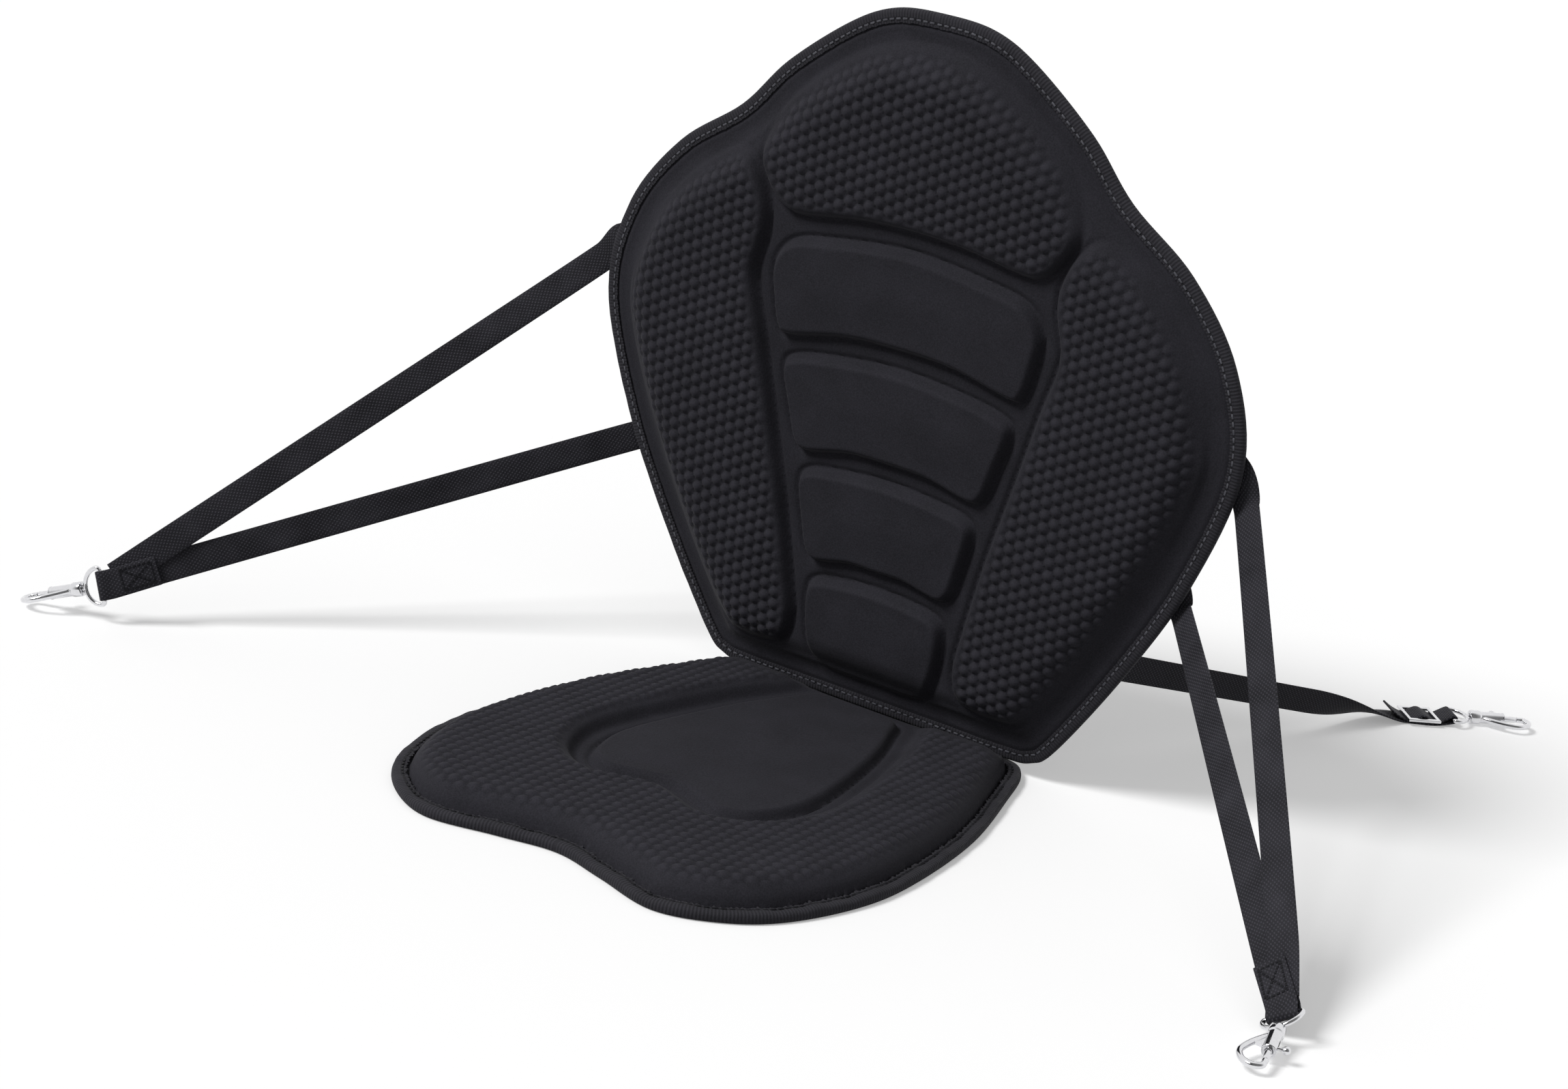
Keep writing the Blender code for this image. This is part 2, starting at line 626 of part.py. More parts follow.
class Harness:
    """The six straps, their sewn patches on the back, the slides and the four snaps."""

    def __init__(self, model, cutters, rear_face, palette):
        self.model = model
        self.cutters = cutters
        self.palette = palette
        bpy.context.view_layer.update()
        self.rear = rear_face.matrix_world.copy()
        self.snap = BoltSnap(cutters, palette)

    def on_back(self, side, place_on_back, layers):
        """World position on the rear face, so many webbing layers behind it."""
        x, height = place_on_back
        depth = CLEARANCE + (CLEARANCE + WEBBING_THICKNESS) * layers + WEBBING_THICKNESS / 2
        return self.rear @ Vector((side * x, height, -depth))

    def patch(self, name, side, anchor, direction):
        """A stitched rectangle of webbing over the strap's sewn end."""
        centre = self.on_back(side, anchor, 1)
        along = direction.normalized() * ANCHOR_PATCH_LENGTH / 2
        normal = (self.rear.to_3x3() @ Vector((0, 0, -1))).normalized()
        across = normal.cross(along).normalized() * ANCHOR_PATCH_WIDTH / 2
        solid = ribbon(name, [(centre - along, across), (centre + along, across)])
        place(solid, self.model, None, self.palette.webbing)

    def anchored_run(self, side, anchor, edge):
        """Stations of a strap from its sewn end to where it leaves the back's rim."""
        start, rim = self.on_back(side, anchor, 0), self.on_back(side, edge, 0)
        along = (rim - start).normalized()
        normal = (self.rear.to_3x3() @ Vector((0, 0, -1))).normalized()
        across = normal.cross(along).normalized() * WEBBING_WIDTH / 2
        return start, rim, along, across

    def side_straps(self, word, side, snap):
        """The upper and lower strap of one side, which share one snap."""
        origin, axis, roll = snap
        axis = axis.normalized()
        level = Vector((axis.y, -axis.x, 0)).normalized() * -side
        bar = (level * math.cos(roll) * side + Vector((0, 0, 1)) * math.sin(roll)).normalized()
        ends = []
        for anchor, edge in ((UPPER_ANCHOR, UPPER_EDGE), (LOWER_ANCHOR, LOWER_EDGE)):
            ends.append(self.anchored_run(side, anchor, edge))
        upper, lower = ends
        to_lower = (lower[1] - origin).normalized()
        bar = (bar - axis * bar.dot(axis)).normalized()
        self.snap.copy_to(word, self.model, origin, axis, bar, self.swivel_for(axis, bar, side))
        flat = bar.cross(to_lower).normalized()
        flat = flat if flat.dot(upper[1] - origin) < 0 else -flat
        pull = flat.cross(bar).normalized()
        pull = pull if pull.dot(to_lower) > 0 else -pull
        ring = EYE_WIRE / 2 + CLEARANCE + WEBBING_THICKNESS / 2
        close = WEBBING_THICKNESS + 2 * CLEARANCE
        half = bar * WEBBING_WIDTH / 2
        wrap = [(origin - pull * ring * math.cos(a) + flat * ring * math.sin(a), half)
                for a in (math.radians(v) for v in (-90, -45, 0, 45, 90))]
        back_leg = [(origin + pull * FOLDED_END - flat * close, half),
                    (origin + pull * 3 * ring - flat * close, half)]
        front_leg = [(origin + pull * 3 * ring + flat * close, half),
                     (origin + pull * FOLDED_END + flat * close, half)]
        start, rim, along, across = lower
        across = across if across.dot(half) > 0 else -across
        lower_stations = [*back_leg, *wrap, *front_leg, (rim + along * ring, across), (rim, across),
                          (start, across)]
        self.strap(f"{word}_lower_strap", lower_stations)
        start, rim, along, across = upper
        across = across if across.dot(half) > 0 else -across
        to_upper = (rim - origin).normalized()
        fan = (to_upper - flat * to_upper.dot(flat)).normalized()
        fan_half = flat.cross(fan).normalized() * WEBBING_WIDTH / 2
        fan_half = fan_half if fan_half.dot(half) > 0 else -fan_half
        upper_stations = [(origin + fan * 4 * ring, fan_half), (origin + fan * UPPER_SEAM_END, fan_half),
                          (rim + along * ring, across), (rim, across), (start, across)]
        self.strap(f"{word}_upper_strap", upper_stations)
        self.patch(f"{word}_upper_patch", side, UPPER_ANCHOR, upper[2])
        self.patch(f"{word}_lower_patch", side, LOWER_ANCHOR, lower[2])

    @staticmethod
    def swivel_for(axis, bar, side):
        """The turn that lays the hook flat, with its knob on the outer side."""
        level = Vector((-axis.y, axis.x, 0)).normalized() * side
        normal = axis.cross(bar)
        return math.atan2(level.dot(normal), level.dot(bar))

    def strap(self, name, stations):
        """One strap as a closed solid."""
        place(ribbon(name, stations), self.model, None, self.palette.webbing)

    def rear_strap(self, word, side):
        """A rear strap: down to the floor, round the eye's bar and back through the slide."""
        flip = Matrix.Diagonal((side, 1, 1))
        origin = flip @ REAR_SNAP_EYE
        axis = (flip @ REAR_SNAP_AXIS).normalized()
        away = -axis
        across_dir = Vector((-away.y, away.x, 0))
        half = across_dir * WEBBING_WIDTH / 2
        self.snap.copy_to(f"rear_{word}", self.model, origin, axis, across_dir,
                          self.swivel_for(axis, across_dir, side))
        floor = WEBBING_THICKNESS / 2 + CLEARANCE
        ring = EYE_WIRE / 2 + CLEARANCE + WEBBING_THICKNESS / 2
        pitch = SLIDE_BAR + SLIDE_SLOT
        under = floor + WEBBING_THICKNESS + CLEARANCE
        bar_low = under + WEBBING_THICKNESS / 2 + CLEARANCE
        over = bar_low + SLIDE_THICKNESS + CLEARANCE + WEBBING_THICKNESS / 2

        def at(distance, height):
            return origin.xy.to_3d() + away * distance + Vector((0, 0, height))

        centre = SLIDE_TO_EYE
        wrap = [at(-ring * math.cos(a), origin.z + ring * math.sin(a))
                for a in (math.radians(v) for v in (-90, -45, 0, 45, 90))]
        reach = SLIDE_BAR / 2
        free = [at(centre - pitch - reach, under), at(centre - pitch + reach, under),
                at(centre - reach, over), at(centre + reach, over),
                at(centre + pitch - reach, under), at(centre + pitch + reach, under)]
        free += [at(centre + pitch + run, under + rise) for run, rise in TAIL]
        touch = at(centre + pitch + TAIL_TOUCH, floor)
        normal = (self.rear.to_3x3() @ Vector((0, 0, -1))).normalized()
        sewn = self.on_back(side, (REAR_ANCHOR[0] - ANCHOR_PATCH_LENGTH / 2, REAR_ANCHOR[1]), 0)
        out_x = REAR_ANCHOR[0] + PATCH_EXIT_SHARE * ANCHOR_PATCH_LENGTH
        out = self.on_back(side, (out_x, REAR_ANCHOR[1]), 0)
        upright = (self.rear.to_3x3() @ Vector((0, 1, 0))).normalized() * WEBBING_WIDTH / 2
        stations = [(point, half) for point in reversed(free)]
        stations += [(point, half) for point in reversed(wrap)]
        stations += [(at(centre - pitch, floor), half), (touch, half)]
        turned = upright if upright.dot(half) >= 0 else -upright
        bend = out + normal * STRAP_STAND_OFF + (touch - out).normalized() * STRAP_BEND
        stations += [(bend, turned), (out, turned), (sewn, turned)]
        self.strap(f"rear_{word}_strap", stations)
        self.patch(f"rear_{word}_patch", side, REAR_ANCHOR,
                   (self.rear.to_3x3() @ Vector((side, 0, 0))))
        self.slide(f"rear_{word}_slide", at(centre, bar_low), away, pitch)

    def slide(self, name, low_centre, away, pitch):
        """A flat three-bar slide that the strap is threaded through."""
        length = 2 * pitch + SLIDE_BAR
        frame = box(name, Vector((-length / 2, -SLIDE_WIDTH / 2, 0)),
                    Vector((length / 2, SLIDE_WIDTH / 2, SLIDE_THICKNESS)))
        inner = WEBBING_WIDTH / 2 + 2 * CLEARANCE
        across = Vector((-away.y, away.x, 0))
        rotation = Matrix((away, across, Vector((0, 0, 1)))).transposed()
        carrier = frame_at(name + "_frame", self.model, low_centre, rotation)
        place(frame, self.model, carrier, self.palette.metal)
        for sign in (-1, 1):
            near, far = sorted((sign * SLIDE_BAR / 2, sign * (SLIDE_BAR / 2 + SLIDE_SLOT)))
            slot = box(f"{name}_slot", Vector((near, -inner, -CLEARANCE)),
                       Vector((far, inner, SLIDE_THICKNESS + CLEARANCE)))
            boolean(frame, make_cutter(slot, self.cutters, carrier), "DIFFERENCE")


def shade(model):
    """Smooth shading with sharp edges kept."""
    for obj in model.objects:
        if obj.type == "MESH":
            obj.data.shade_smooth()
            obj.data.set_sharp_from_angle(angle=math.radians(35))


def main():
    """Build the kayak seat."""
    for obj in list(bpy.data.objects):
        bpy.data.objects.remove(obj)
    model = new_collection("kayak_seat")
    cutters = new_collection("cutters")
    palette = Palette()
    build_seat(model, cutters, palette)
    rear_face = build_back(model, cutters, palette)
    build_hinge_strip(model, rear_face, palette)
    harness = Harness(model, cutters, rear_face, palette)
    harness.side_straps("left", -1, LEFT_SNAP)
    harness.side_straps("right", 1, RIGHT_SNAP)
    for word, side in (("left", -1), ("right", 1)):
        harness.rear_strap(word, side)
    shade(model)


main()
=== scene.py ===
"""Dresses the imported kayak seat: moulded foam pads, bound edges, webbing and bolt snaps.

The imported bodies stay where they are. Sizes are in millimetres where a name or a comment says
so, and in metres everywhere else. Each soft piece is built in the space of the solid that it
replaces, and each finish is made of shader nodes.
"""
import logging
import math
from abc import ABC, abstractmethod
from dataclasses import dataclass, field
from enum import Enum
from typing import Iterable, Sequence

import bmesh
import bpy
import numpy as np
from mathutils import Matrix, Vector


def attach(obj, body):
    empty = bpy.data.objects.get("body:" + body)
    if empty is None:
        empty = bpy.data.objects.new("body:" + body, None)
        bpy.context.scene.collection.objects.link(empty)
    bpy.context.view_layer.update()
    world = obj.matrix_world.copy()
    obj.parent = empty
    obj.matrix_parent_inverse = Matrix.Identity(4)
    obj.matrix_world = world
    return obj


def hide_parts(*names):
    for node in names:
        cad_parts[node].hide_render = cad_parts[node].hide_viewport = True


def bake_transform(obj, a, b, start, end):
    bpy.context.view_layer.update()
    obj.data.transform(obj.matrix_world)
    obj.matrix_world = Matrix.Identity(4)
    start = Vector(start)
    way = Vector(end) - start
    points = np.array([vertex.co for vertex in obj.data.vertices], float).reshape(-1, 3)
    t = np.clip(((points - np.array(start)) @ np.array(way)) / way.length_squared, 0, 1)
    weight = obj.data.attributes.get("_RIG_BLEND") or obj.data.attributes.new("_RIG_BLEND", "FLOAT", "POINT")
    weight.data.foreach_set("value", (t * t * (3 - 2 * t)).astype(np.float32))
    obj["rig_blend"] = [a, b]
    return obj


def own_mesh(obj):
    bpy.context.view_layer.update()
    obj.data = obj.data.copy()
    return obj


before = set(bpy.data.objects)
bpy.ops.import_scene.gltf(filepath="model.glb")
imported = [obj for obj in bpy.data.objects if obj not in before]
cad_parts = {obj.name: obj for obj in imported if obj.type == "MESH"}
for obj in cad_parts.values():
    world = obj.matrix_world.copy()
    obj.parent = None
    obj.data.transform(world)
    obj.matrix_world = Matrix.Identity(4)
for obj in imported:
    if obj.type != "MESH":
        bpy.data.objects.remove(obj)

MM = 0.001
LOG = logging.getLogger("kayak_seat")
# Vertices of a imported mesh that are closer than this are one
WELD = 0.005 * MM
# The number of parts that each span of an outline is cut into
OUTLINE_STEPS = 8
# How strongly a strap's curve keeps its stations' directions, as a share of the shorter span
# beside a station, and the most that this may be of the span itself
STRAP_PULL = 1.6
LONGEST_PULL = 0.9
Pair = tuple[float, float]
Station = tuple[Vector, Vector]
BMesh = bmesh.types.BMesh
Tree = bpy.types.NodeTree
Socket = bpy.types.NodeSocket


class Slot(str, Enum):
    """The record's material slots."""

    FOAM = "foam_fabric"
    TAPE = "edge_tape"
    LINING = "lining"
    WEBBING = "webbing"
    BOARD = "stiffener"
    STEEL = "plated_steel"


class Side(Enum):
    """The two sides of the seat, as seen from the front."""

    LEFT = -1
    RIGHT = 1

    @property
    def word(self) -> str:
        """The side's name as the nodes have it."""
        return self.name.lower()


def linear(code: str) -> tuple[float, float, float, float]:
    """Turn an sRGB hex colour such as #2A2A2E into linear RGBA."""
    shares = [int(code[k:k + 2], 16) / 255 for k in (1, 3, 5)]
    red, green, blue = (s / 12.92 if s <= 0.04045 else ((s + 0.055) / 1.055) ** 2.4 for s in shares)
    return red, green, blue, 1.0


def add_node(tree: Tree, kind: str, inputs: dict | None = None, **settings) -> bpy.types.Node:
    """Add one shader node, set it up and link what feeds it.

    Args:
        tree: The node tree that gets the node.
        kind: The node's type, such as ShaderNodeMath.
        inputs: A value or an output socket for each input, by name or number.
        settings: The node's own settings.

    Returns:
        The new node.
    """
    node = tree.nodes.new(kind)
    for name, value in settings.items():
        setattr(node, name, value)
    for key, value in (inputs or {}).items():
        if isinstance(value, Socket):
            tree.links.new(value, node.inputs[key])
        else:
            node.inputs[key].default_value = value
    return node


def maths(tree: Tree, operation: str, *terms: Socket | float, clamp: bool = False) -> Socket:
    """The result of one maths node.

    Args:
        tree: The node tree that gets the node.
        operation: What the node does, such as MULTIPLY_ADD.
        terms: What it works on.
        clamp: Whether the result stays between 0 and 1.

    Returns:
        The result's output socket.
    """
    node = add_node(tree, "ShaderNodeMath", dict(enumerate(terms)), operation=operation,
                    use_clamp=clamp)
    return node.outputs[0]


def sine(tree: Tree, place: Socket, pitch: float) -> Socket:
    """A wave from -1 to 1 along a coordinate, both in metres."""
    return maths(tree, "SINE", maths(tree, "MULTIPLY", place, math.tau / pitch))


def ramp(tree: Tree, value: Socket, span: Pair, low: Socket | float = 0.0,
         high: Socket | float = 1.0) -> Socket:
    """A value that runs from low to high while another runs through a span.

    Args:
        tree: The node tree that gets the node.
        value: The value that runs through the span.
        span: The span's start and end, beyond which the result is held.
        low: The result at the span's start.
        high: The result at the span's end.

    Returns:
        The result's output socket.
    """
    settings = {"Value": value, "From Min": span[0], "From Max": span[1], "To Min": low,
                "To Max": high}
    return add_node(tree, "ShaderNodeMapRange", settings).outputs["Result"]


def coordinate(tree: Tree, kind: str) -> Socket:
    """One of the texture coordinates, such as Object or UV."""
    return add_node(tree, "ShaderNodeTexCoord").outputs[kind]


def noise(tree: Tree, scale: float, detail: float = 2.0, roughness: float = 0.5) -> Socket:
    """Noise over the piece, with so many grains to the metre."""
    settings = {"Vector": coordinate(tree, "Object"), "Scale": scale, "Detail": detail,
                "Roughness": roughness}
    return add_node(tree, "ShaderNodeTexNoise", settings).outputs["Fac"]


def mixed_tone(tree: Tree, share: Socket, dark: str, pale: str) -> Socket:
    """A colour between two tones that are given as sRGB hex."""
    return add_node(tree, "ShaderNodeMix", {0: share, 6: linear(dark), 7: linear(pale)},
                    data_type="RGBA").outputs[2]


@dataclass(frozen=True)
class Finish(ABC):
    """A surface made of two tones, a fine relief and a slow mottling.

    Attributes:
        name: The material's name.
        slot: The record's slot that it belongs to.
        dark: The tone in the hollows, as sRGB hex.
        pale: The tone on the crowns, as sRGB hex.
        roughness: How matt it is.
        relief: The depth of the fine pattern in millimetres.
        sheen: The strength of the fibres' soft glow at grazing angles.
        metallic: 1 for a metal.
        shine: The specular level, low for cloth, whose fibres scatter what they mirror.
    """

    name: str
    slot: Slot
    dark: str
    pale: str
    roughness: float
    relief: float
    sheen: float = 0.0
    metallic: float = 0.0
    shine: float = 0.1

    SHEEN_ROUGHNESS = 0.45
    # Handling leaves patches a few centimetres across, this many to the metre
    MOTTLE = 38.0
    MOTTLE_SPAN = (0.3, 0.7)
    # What the mottling and the pattern each add to the paler tone, and the mottling's roughness
    MOTTLE_SHARE = 0.5
    PATTERN_SHARE = 0.6
    HAZE = 0.04

    @abstractmethod
    def pattern(self, tree: Tree) -> Socket:
        """The fine pattern's height, from 0 to 1."""

    def material(self) -> bpy.types.Material:
        """The finish as a node material, made once."""
        known = bpy.data.materials.get(self.name)
        if known:
            return known
        material = bpy.data.materials.new(self.name)
        material.use_nodes = True
        tree = material.node_tree
        shader = tree.nodes["Principled BSDF"]
        shader.inputs["Metallic"].default_value = self.metallic
        shader.inputs["Sheen Weight"].default_value = self.sheen
        shader.inputs["Sheen Roughness"].default_value = self.SHEEN_ROUGHNESS
        shader.inputs["Specular IOR Level"].default_value = self.shine
        mottle = noise(tree, self.MOTTLE, 3.0)
        height = self.pattern(tree)
        share = maths(tree, "MULTIPLY", mottle, self.MOTTLE_SHARE)
        # Tone follows the pattern's height: painted highlight on bump and yarn crowns, painted shade in
        # hollows
        mixed = maths(tree, "MULTIPLY_ADD", height, self.PATTERN_SHARE, share, clamp=True)
        tone = mixed_tone(tree, mixed, self.dark, self.pale)
        gloss = ramp(tree, mottle, self.MOTTLE_SPAN, self.roughness - self.HAZE,
                     self.roughness + self.HAZE)
        bump = add_node(tree, "ShaderNodeBump", {"Height": height, "Distance": self.relief * MM,
                                                 "Strength": 1.0})
        tree.links.new(tone, shader.inputs["Base Color"])
        tree.links.new(gloss, shader.inputs["Roughness"])
        tree.links.new(bump.outputs["Normal"], shader.inputs["Normal"])
        return material


@dataclass(frozen=True)
class BrushedKnit(Finish):
    """Nylon tricot laminated to foam: matt, with a fine fibrous grain.

    Attributes:
        grain: The loops' size in millimetres.
        fibre: What the loops add to the pattern's height.
        crown_shading: What the painted highlight and shade on the bumps add to it.
    """

    grain: float = 1.1
    fibre: float = 0.6
    crown_shading: float = 0.7

    def pattern(self, tree: Tree) -> Socket:
        """Loops, coarser than life so that they show, and painted light and shade on the bumps."""
        loops = ramp(tree, noise(tree, 1000 / self.grain, 2.0, 0.6), (0.3, 0.7), 0.0, self.fibre)
        # Painted highlight on the bumps' crowns and painted shade between them
        crown = add_node(tree, "ShaderNodeAttribute", attribute_name="crown").outputs["Fac"]
        return maths(tree, "MULTIPLY_ADD", crown, self.crown_shading, loops, clamp=True)


@dataclass(frozen=True)
class RibbedTape(Finish):
    """Woven nylon binding tape: cords across the tape give it fine ribs.

    Attributes:
        rib: The distance from one rib to the next, in millimetres.
        seam: How far the needle line is from the edge, in millimetres.
    """

    rib: float = 2.2
    seam: float = 6.4

    # Half the width of the needle line's groove and of its slopes' foot, and its depth of painted shade
    GROOVE = (0.4 * MM, 1.3 * MM)
    GROOVE_SHADE = 0.05

    def pattern(self, tree: Tree) -> Socket:
        """Ribs at right angles to the edge, broken up by the yarn."""
        split = add_node(tree, "ShaderNodeSeparateXYZ", {0: coordinate(tree, "UV")})
        rib = maths(tree, "MULTIPLY_ADD", sine(tree, split.outputs[0], self.rib * MM), 0.3, 0.35)
        both = maths(tree, "MULTIPLY_ADD", noise(tree, 1400.0), 0.5, rib, clamp=True)
        # The needle line pulls the tape down into a groove, dark with painted shade
        away = maths(tree, "ABSOLUTE", maths(tree, "ADD", split.outputs[1], self.seam * MM))
        return maths(tree, "MULTIPLY", both, ramp(tree, away, self.GROOVE, self.GROOVE_SHADE))


@dataclass(frozen=True)
class WovenWebbing(Finish):
    """Polypropylene webbing: short crowns of yarn in rows across the width.

    Attributes:
        row: The length of two crowns, in millimetres.
        yarn: The width of two crowns, in millimetres.
        crown: What a crown adds to the pattern's height and to its painted highlight.
        fuzz: What the loose fibres add to it.
        gap: The height between crowns, below 0 so that the gaps stay black in painted shade.
    """

    row: float = 3.2
    yarn: float = 2.6
    crown: float = 0.8
    fuzz: float = 0.25
    gap: float = -0.1

    def pattern(self, tree: Tree) -> Socket:
        """Staggered rows of yarn crowns, drawn a little coarser than life, in painted highlight."""
        split = add_node(tree, "ShaderNodeSeparateXYZ", {0: coordinate(tree, "UV")})
        lengthwise = sine(tree, split.outputs[0], self.row * MM)
        crosswise = sine(tree, split.outputs[1], self.yarn * MM)
        level = maths(tree, "MULTIPLY_ADD", noise(tree, 1600.0), self.fuzz, self.gap)
        return maths(tree, "MULTIPLY_ADD", maths(tree, "MULTIPLY", lengthwise, crosswise),
                     self.crown, level, clamp=True)


@dataclass(frozen=True)
class PlainWeave(Finish):
    """Coated nylon lining: a flat plain weave, seen on the hidden sides."""

    thread: float = 1.2

    def pattern(self, tree: Tree) -> Socket:
        """Threads over and under each other, the same on a lying and on a standing panel."""
        split = add_node(tree, "ShaderNodeSeparateXYZ", {0: coordinate(tree, "Object")})
        upward = maths(tree, "ADD", split.outputs[1], split.outputs[2])
        warp = sine(tree, split.outputs[0], 2 * self.thread * MM)
        weft = sine(tree, upward, 2 * self.thread * MM)
        return maths(tree, "MULTIPLY_ADD", maths(tree, "MULTIPLY", warp, weft), 0.5, 0.5)


@dataclass(frozen=True)
class Grained(Finish):
    """A surface with an even grain: moulded plastic, twisted thread or plated steel."""

    grain: float = 0.8

    def pattern(self, tree: Tree) -> Socket:
        """A fine even grain."""
        return noise(tree, 1000 / self.grain, 1.0)


# The pads' cloth is a charcoal knit with a faint violet cast, which moulding leaves matt
# The bumps get its pale tone on their crowns as painted highlight, and its dark tone between them as painted
# shade
PAD_CLOTH = BrushedKnit("brushed_nylon_knit", Slot.FOAM, "#19191C", "#3B3A41", 0.8, 0.14,
                        sheen=0.04)
# The tape is a tone paler than the pads, and its ribs catch the light
EDGE_TAPE = RibbedTape("ribbed_nylon_tape", Slot.TAPE, "#111113", "#434248", 0.75, 0.4, sheen=0.05)
# Webbing reads as rows of crowns in painted highlight over gaps in painted shade
WEBBING = WovenWebbing("woven_polypropylene_webbing", Slot.WEBBING, "#09090B", "#57565E", 0.6, 0.4,
                       sheen=0.04)
# The lining is the plain side, flat and a little shiny from its coating
LINING = PlainWeave("coated_nylon_lining", Slot.LINING, "#18181A", "#2C2C30", 0.6, 0.12)
# The board's polyethylene shows only its moulding grain
BOARD = Grained("moulded_polyethylene", Slot.BOARD, "#232325", "#303033", 0.5, 0.05, shine=0.5)
# Bonded thread, a little paler and glossier than the tape it sinks into
THREAD = Grained("bonded_nylon_thread", Slot.TAPE, "#38383D", "#66666E", 0.5, 0.03, grain=0.5,
                 shine=0.3)
# The seat's thread is dark and drowns in the tape's pile
DARK_THREAD = Grained("dark_nylon_thread", Slot.TAPE, "#121214", "#29292D", 0.6, 0.03, grain=0.5)
# Nickel-chrome plating is bright, with only a trace of polishing haze
PLATING = Grained("nickel_chrome_plating", Slot.STEEL, "#CFCFD2", "#E6E6E8", 0.12, 0.002,
                  metallic=1.0, shine=0.5, grain=2.0)


def smooth_path(points: np.ndarray, closed: bool, steps: int) -> np.ndarray:
    """Points on a Catmull-Rom curve through the given points.

    Args:
        points: The points to pass through, one a row.
        closed: Whether the curve comes back to its start.
        steps: The number of parts that each span is cut into.

    Returns:
        The points of the curve, one a row.
    """
    count = len(points)
    path = []
    for index in range(count if closed else count - 1):
        picks = [index - 1, index, index + 1, index + 2]
        picks = [k % count for k in picks] if closed else [min(max(k, 0), count - 1) for k in picks]
        before, start, end, after = (points[k] for k in picks)
        for t in np.arange(steps) / steps:
            path.append(0.5 * (2 * start + (end - before) * t
                               + (2 * before - 5 * start + 4 * end - after) * t ** 2
                               + (3 * start - before - 3 * end + after) * t ** 3))
    if not closed:
        path.append(points[-1])
    return np.array(path)


def whole_outline(half: Sequence[Pair], forward: float = 1.0) -> np.ndarray:
    """A closed counter-clockwise outline in millimetres.

    Args:
        half: Half the outline from the middle round to the middle, as half width and distance.
        forward: -1 turns distances towards -Y.

    Returns:
        The outline's points, one a row.
    """
    right = [(x, forward * y) for x, y in half]
    left = [(-x, forward * y) for x, y in reversed(half) if x > 0]
    path = smooth_path(np.array(right + left, float), True, OUTLINE_STEPS)
    return path if forward < 0 else path[::-1]


def inward(spots: np.ndarray, outline: np.ndarray) -> np.ndarray:
    """How far each spot is inside an outline, negative outside.

    Args:
        spots: Spots in the outline's plane, one a row.
        outline: The closed outline's points, one a row.

    Returns:
        A distance for each spot.
    """
    nearest = np.full(len(spots), np.inf)
    inside = np.zeros(len(spots), bool)
    for start, end in zip(outline, np.roll(outline, -1, axis=0)):
        edge = end - start
        rel = spots - start
        share = np.clip(rel @ edge / (edge @ edge), 0, 1)
        nearest = np.minimum(nearest, ((rel - share[:, None] * edge) ** 2).sum(1))
        if start[1] != end[1]:
            spans = (start[1] > spots[:, 1]) != (end[1] > spots[:, 1])
            inside ^= spans & (rel[:, 0] < edge[0] * rel[:, 1] / edge[1])
    return np.where(inside, 1, -1) * np.sqrt(nearest)


def ease(value: np.ndarray, start: float, end: float) -> np.ndarray:
    """A smooth step from 0 at start to 1 at end."""
    t = np.clip((value - start) / (end - start), 0, 1)
    return t * t * (3 - 2 * t)


def bead(value: np.ndarray, centre: float, width: float) -> np.ndarray:
    """A rounded ridge of height 1 along a contour."""
    return np.exp(-((value - centre) / width) ** 2)


def quarter_round(value: np.ndarray, start: float, radius: float) -> np.ndarray:
    """A rise from 0 to 1 that starts steep and rolls over, like a padded edge."""
    t = np.clip((value - start) / radius, 0, 1)
    return np.sqrt(1 - (1 - t) ** 2)


class Workshop:
    """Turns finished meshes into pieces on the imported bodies."""

    def keep(self, work: BMesh, name: str, finish: Finish, body: str | None,
             nodes: Iterable[str] = (), sharp: float = 45.0) -> bpy.types.Object:
        """Make a piece of a mesh.

        Args:
            work: The mesh, in place in the row frame. It is freed.
            name: The piece's name.
            finish: The piece's finish.
            body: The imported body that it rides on, or None for a piece that blends.
            nodes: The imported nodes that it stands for.
            sharp: The angle in degrees past which an edge stays crisp.

        Returns:
            The new object.
        """
        mesh = bpy.data.meshes.new(name)
        work.to_mesh(mesh)
        work.free()
        mesh.shade_smooth()
        mesh.set_sharp_from_angle(angle=math.radians(sharp))
        mesh.materials.append(finish.material())
        # A piece that stands for a node can't share the node's name
        piece = bpy.data.objects.new(f"{name}_{finish.slot.value}" if nodes else name, mesh)
        bpy.context.scene.collection.objects.link(piece)
        if body:
            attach(piece, body)
        if nodes:
            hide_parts(*nodes)
        LOG.info("%s: %d faces in %s", piece.name, len(mesh.polygons), finish.name)
        return piece

    def redress(self, node: str, finish: Finish) -> None:
        """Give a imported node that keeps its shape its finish."""
        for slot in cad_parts[node].material_slots:
            slot.material = finish.material()
        LOG.info("%s: packed shape in %s", node, finish.name)


